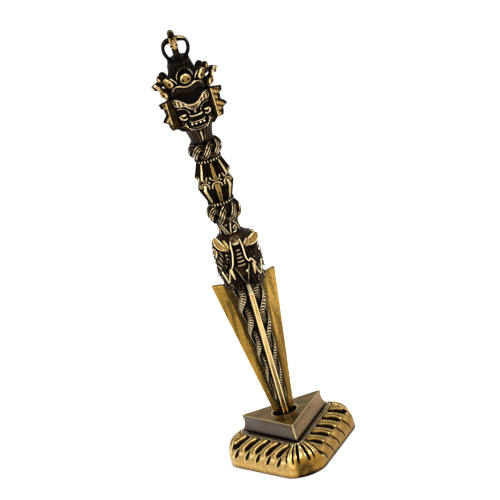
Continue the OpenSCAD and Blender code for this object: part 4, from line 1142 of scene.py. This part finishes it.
def crown():
    """Skulls with eye pits, nose and teeth, each on a cupped leaf that stands above it. A leaf
    is a flat tube whose edges come forwards by the square of the cosine round its section."""
    skulls, leaves = Piece("crown_skulls", SKULL_BRASS), Piece("crown_leaves", ORNAMENT)
    rows, columns, leaf_n = 48, 72, 50
    v, u = ball_angles(rows, columns)
    side = np.abs(folded(u, 2 * np.pi))
    pits = np.exp(-(((v - 1.5) / 0.22) ** 2 + ((side - 0.58) / 0.24) ** 2) ** 2)
    nose = np.exp(-(((v - 1.85) / 0.13) ** 2 + (side / 0.13) ** 2) ** 2)
    grin = bell(v, 2.2, 0.07) * smooth(0.9, 0.7, side)
    cheek = bell(v, 2.0, 0.12) * smooth(0.9, 0.5, side)
    scale = 1 - 0.1 * smooth(1.9, 2.5, v) - 0.2 * pits - 0.1 * nose - 0.07 * grin \
        - 0.08 * smooth(1.0, 0.4, np.hypot(v - 1.3, side))
    away = np.hypot(v - 1.55, side)
    rear = smooth(1.2, 1.45, away)
    worn = 0.5 + 0.26 * smooth(0.8, 1.05, away) - 0.75 * rear + 0.2 * cheek - 0.9 * pits \
        - 0.4 * nose - 0.4 * grin
    cross = ring(48)
    aside = np.abs(np.cos(cross))
    front = np.sin(cross) > 0
    ribs = np.abs(np.cos(2.5 * np.pi * np.cos(cross))) ** 0.7
    t = np.linspace(0, 1, leaf_n)
    s = t[:, None]
    for a, reach, z, tilt, size, length, wide, curl in crown_places():
        low, mid = tilt == LOW_LEAN, abs(folded(a)) == 45
        skull = ball((reach + 0.5, 0, z), (2.3 * size, 2.75 * size, 3.35 * size), rows, columns,
                     scale)
        skulls.grid(turn(lean(skull, tilt, (reach, z)), a), worn + 0.3 * low * rear)
        path = points(reach - 1.6 + 2.2 * low + curl * t ** 2, 0,
                      z + (1.4 if low else -3.9) + length * t)
        leaf = tube(path, leaf_widths(wide, 0.14, 0.98, leaf_n), 0.75, columns=48,
                    relief=0.3 * ribs * front - 0.12 * front)
        leaf[..., 0] += (1.0 + 1.8 * low) * np.cos(cross) ** 2 * smooth(0, 0.4, s)
        trim = smooth(0.72, 0.88, aside) if low else smooth(0.86, 0.95, aside)
        fluted = ribs if low and a < 0 else ribs * front
        leaves.grid(turn(lean(leaf, tilt, (reach, z)), a),
                    0.2 + (0.24 + 0.12 * mid) * fluted * smooth(0.95, 0.6, s)
                    + (0.64 - 0.14 * mid) * trim * smooth(0.2, 0.45, s)
                    * (1 - (0.4 - 0.4 * low) * smooth(0.8, 0.95, s))
                    + 0.14 * mid * smooth(0.4, 0.8, s))
    skulls.done()
    leaves.done()


def topknot():
    """The hair drawn up: strands that twist a little on their way."""
    a, z = ring(300, 360), column(TOPKNOT_Z, VAJRA_Z, 60)
    t = (z - TOPKNOT_Z) / (VAJRA_Z - TOPKNOT_Z)
    base = 8.6 + (5.3 - 8.6) * t - 4 * 0.5 * t * (1 - t)
    r = base - 0.4 + 0.45 * np.abs(np.sin(np.radians(a * 9) + 2.4 * t)) ** 0.8
    dress("topknot", ORNAMENT, polar(r, np.radians(a), z), -0.3, reach=1.0)


def vajra():
    """The half vajra: a lotus foot, four prongs that bend in to the tip and a central one."""
    low = VAJRA_Z - FOOT_DROP
    a, z = ring(240, 360), column(low, low + VAJRA_FOOT_H, 30)
    r = np.interp((z - low) / VAJRA_FOOT_H, [0, 0.25, 0.6, 1], [5.3, 5.7, 5.0, 4.3]) - 0.5 \
        + 0.5 * np.abs(np.sin(np.radians(a * 4))) ** 0.6
    dress("vajra_base", DARK_BRASS, polar(r, np.radians(a), z), -0.22, reach=1)
    z0, n = low + VAJRA_FOOT_H - 0.1, 90
    s, cross = np.linspace(0, 1, n), ring(24)
    gilt = 0.62 * smooth(0.4, 0.5, s) * smooth(0.84, 0.78, s) + 0.34 * bell(s, 0.34, 0.03)
    line = bell(np.abs(np.sin(cross)), 0.7, 0.15)
    ridges = 0.12 * np.abs(np.cos(2 * cross)) - 0.1 * (np.abs(np.cos(cross)) < 0.2)
    # Painted highlight: a lighter streak along the outer side of the right prong.
    lit = 0.4 * (smooth(0.42, 0.55, s) * smooth(0.95, 0.85, s))[:, None] \
        * smooth(0, 0.3, -np.sin(cross)) * smooth(0.3, 0.6, -np.cos(cross))
    for word, side, bow, slim in (("front", 0, 0.9, 0.85), ("right", 90, 1.12, 1.0),
                                  ("back", 180, 1.0, 0.85), ("left", -90, 0.96, 1.0)):
        path = curve([(3.8, 0, z0 - 0.8), (4.8 * bow, 0, z0 + 1.0), (5.6 * bow, 0, z0 + 3.0),
                      (5.8 * bow, 0, z0 + 5.4), (5.2 * bow, 0, z0 + 7.5), (3.8, 0, z0 + 8.7),
                      (2.4, 0, z0 + 9.1), (1.2, 0, z0 + 9.2)], n)
        deep = slim * np.interp(s, [0, 0.12, 0.5, 0.7, 0.85, 1], [1.1, 0.85, 0.75, 1.2, 1.4, 1.2])
        w = slim * np.interp(s, [0, 0.12, 0.5, 0.75, 0.93, 1], [1.2, 1.0, 0.9, 1.1, 1.0, 0.7])
        prong = turn(tube(path, deep, w, (0, 1, 0), 24, ridges), side)
        if word == "front":
            dress("prong_front", SKULL_BRASS, prong, gilt[:, None])
        else:
            dress("prong_" + word, DARK_BRASS, prong, 0.42 + 0.34 * line + lit * (side == 90))
    a, z = ring(80, 360), column(z0, TOP_Z - 0.05, 120)
    r = np.interp(z - z0, [0, 5.0, 5.4, 6.0, 6.4, 7.0, 8.4, 10.4, 11.0, 11.6, 12.8, 13.8, 14.3],
                  [1.8, 1.7, 2.1, 2.1, 1.7, 2.0, 2.25, 2.0, 1.75, 1.85, 1.75, 1.1, 0.15])
    dress("central_prong", SKULL_BRASS,
          polar(r * (1 - 0.07 * np.cos(np.radians(4 * a))), np.radians(a), z),
          np.interp(column(0, 1, 120), [0, 0.33, 0.38, 0.44, 0.47, 0.72, 0.77, 0.88, 1],
                    [-0.5, -0.5, -0.2, -0.5, -0.06, -0.06, -0.5, -0.45, -0.26]), reach=1.2)


# The pieces, from the ground up

foot()
lotus()
rim()
plinth()
for place, angle in SIDES.items():
    flange(place, angle)
for place, angle in zip(("right", "back", "left"), HOLLOWS):
    serpents(place, angle)
makara_body()
for place, angle in SIDES.items():
    makara_head(place, angle)
makara_trim()
collar()
knot("lower_knot", LOWER_KNOT_Z, LOWER_BEAD_Z - LOWER_KNOT_Z + LOWER_SHIFT, 60)
knot("upper_knot", UPPER_KNOT_Z, NECK_Z - UPPER_KNOT_Z, 0)
bead_ring("lower_bead_ring", LOWER_BEAD_Z + LOWER_SHIFT, LOWER_GRIP_Z - LOWER_BEAD_Z, RING_R, 26)
bead_ring("waist_ring", WAIST_Z + WAIST_SHIFT, UPPER_GRIP_Z - WAIST_Z, WAIST_R, 8)
bead_ring("upper_bead_ring", UPPER_BEAD_Z, UPPER_KNOT_Z - UPPER_BEAD_Z, RING_R, 26)
grip_half("lower_grip", LOWER_GRIP_Z + LOWER_SHIFT, HOOPS_Z - LOWER_GRIP_Z - LOWER_SHIFT, False)
grip_half("upper_grip", HOOPS_Z, UPPER_BEAD_Z - HOOPS_Z, True)
neck()
for place, angle in SIDES.items():
    face(place, angle)
head_trim()
crown()
topknot()
vajra()


# The core of the blade keeps its solid

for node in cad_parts.values():
    if not node.hide_render:
        node.data.materials.clear()
        node.data.materials.append(DARK_BRASS)


# Camera, light and stage

def camera():
    """Long lens at the photograph's angle: the object leans in the picture because the camera
    rolls. The picture's centre is found from the place of the socket in the photograph, which
    is given in pixels to the right of it and below it."""
    azimuth, elevation, roll = math.radians(-3.4), math.radians(20.8), math.radians(16.9)
    distance, pixel, picture, sensor = 11.0, 0.4798 * MM, 500, 36
    socket_right, socket_down = 34.6, 159.9
    out = Vector((math.sin(azimuth) * math.cos(elevation),
                  -math.cos(azimuth) * math.cos(elevation), math.sin(elevation)))
    level = (-out).cross(Vector((0, 0, 1))).normalized()
    upright = level.cross(-out)
    right = math.cos(roll) * level - math.sin(roll) * upright
    up = math.sin(roll) * level + math.cos(roll) * upright
    target = Vector((0, 0, STAND_H * MM)) - socket_right * pixel * right + socket_down * pixel * up
    data = bpy.data.cameras.new("view")
    data.sensor_width = sensor
    data.lens = sensor * distance / (picture * pixel)
    data.clip_start, data.clip_end = 1, 60
    eye = bpy.data.objects.new("view", data)
    bpy.context.scene.collection.objects.link(eye)
    axes = Matrix((right, up, out)).transposed().to_4x4()
    eye.matrix_world = Matrix.Translation(target + out * distance) @ axes
    bpy.context.scene.camera = eye


def lamp(name, at, size, power):
    """A rectangular lamp, in metres and watts, that is aimed at the middle of the object."""
    data = bpy.data.lights.new(name, "AREA")
    data.shape, data.size, data.size_y, data.energy = "RECTANGLE", size[0], size[1], power
    made = bpy.data.objects.new(name, data)
    bpy.context.scene.collection.objects.link(made)
    made.location = at
    made.rotation_euler = (Vector((0, 0, 0.11)) - Vector(at)).to_track_quat("-Z", "Y").to_euler()


def stage():
    """A white floor that keeps the shadow, and white all round for the camera alone."""
    mesh = bpy.data.meshes.new("floor")
    mesh.from_pydata([(-3, -3, 0), (3, -3, 0), (3, 3, 0), (-3, 3, 0)], [], [(0, 1, 2, 3)])
    ground = bpy.data.objects.new("floor", mesh)
    bpy.context.scene.collection.objects.link(ground)
    f = Finish("white_floor", metallic=0.0)
    f.feed(f.shader.inputs["Base Color"], (0.9, 0.9, 0.9, 1))
    f.feed(f.shader.inputs["Roughness"], 0.9)
    direct, glossy, through = (f.node("ShaderNodeLightPath", {}, {}, f"Is {kind} Ray")
                               for kind in ("Camera", "Glossy", "Transmission"))
    f.feed(f.shader.inputs["Emission Color"], (1, 1, 1, 1))
    f.feed(f.shader.inputs["Emission Strength"], (direct + glossy + through) * 0.35)
    mesh.materials.append(f.material)
    world = bpy.data.worlds.new("studio")
    bpy.context.scene.world = world
    world.use_nodes = True
    tree = world.node_tree
    back = tree.nodes["Background"]
    seen = tree.nodes.new("ShaderNodeLightPath")
    level = tree.nodes.new("ShaderNodeMapRange")
    level.inputs["To Min"].default_value = 0.5
    level.inputs["To Max"].default_value = 1.0
    tree.links.new(seen.outputs["Is Camera Ray"], level.inputs["Value"])
    back.inputs["Color"].default_value = (1, 1, 1, 1)
    tree.links.new(level.outputs["Result"], back.inputs["Strength"])


stage()
camera()
lamp("key", (0.5, -0.75, 0.75), (0.45, 0.45), 8)
lamp("fill", (-0.8, -0.5, 0.5), (0.5, 0.6), 5)
lamp("top", (0.1, 0.3, 0.95), (0.7, 0.5), 3)
bpy.context.scene.view_settings.view_transform = "Standard"
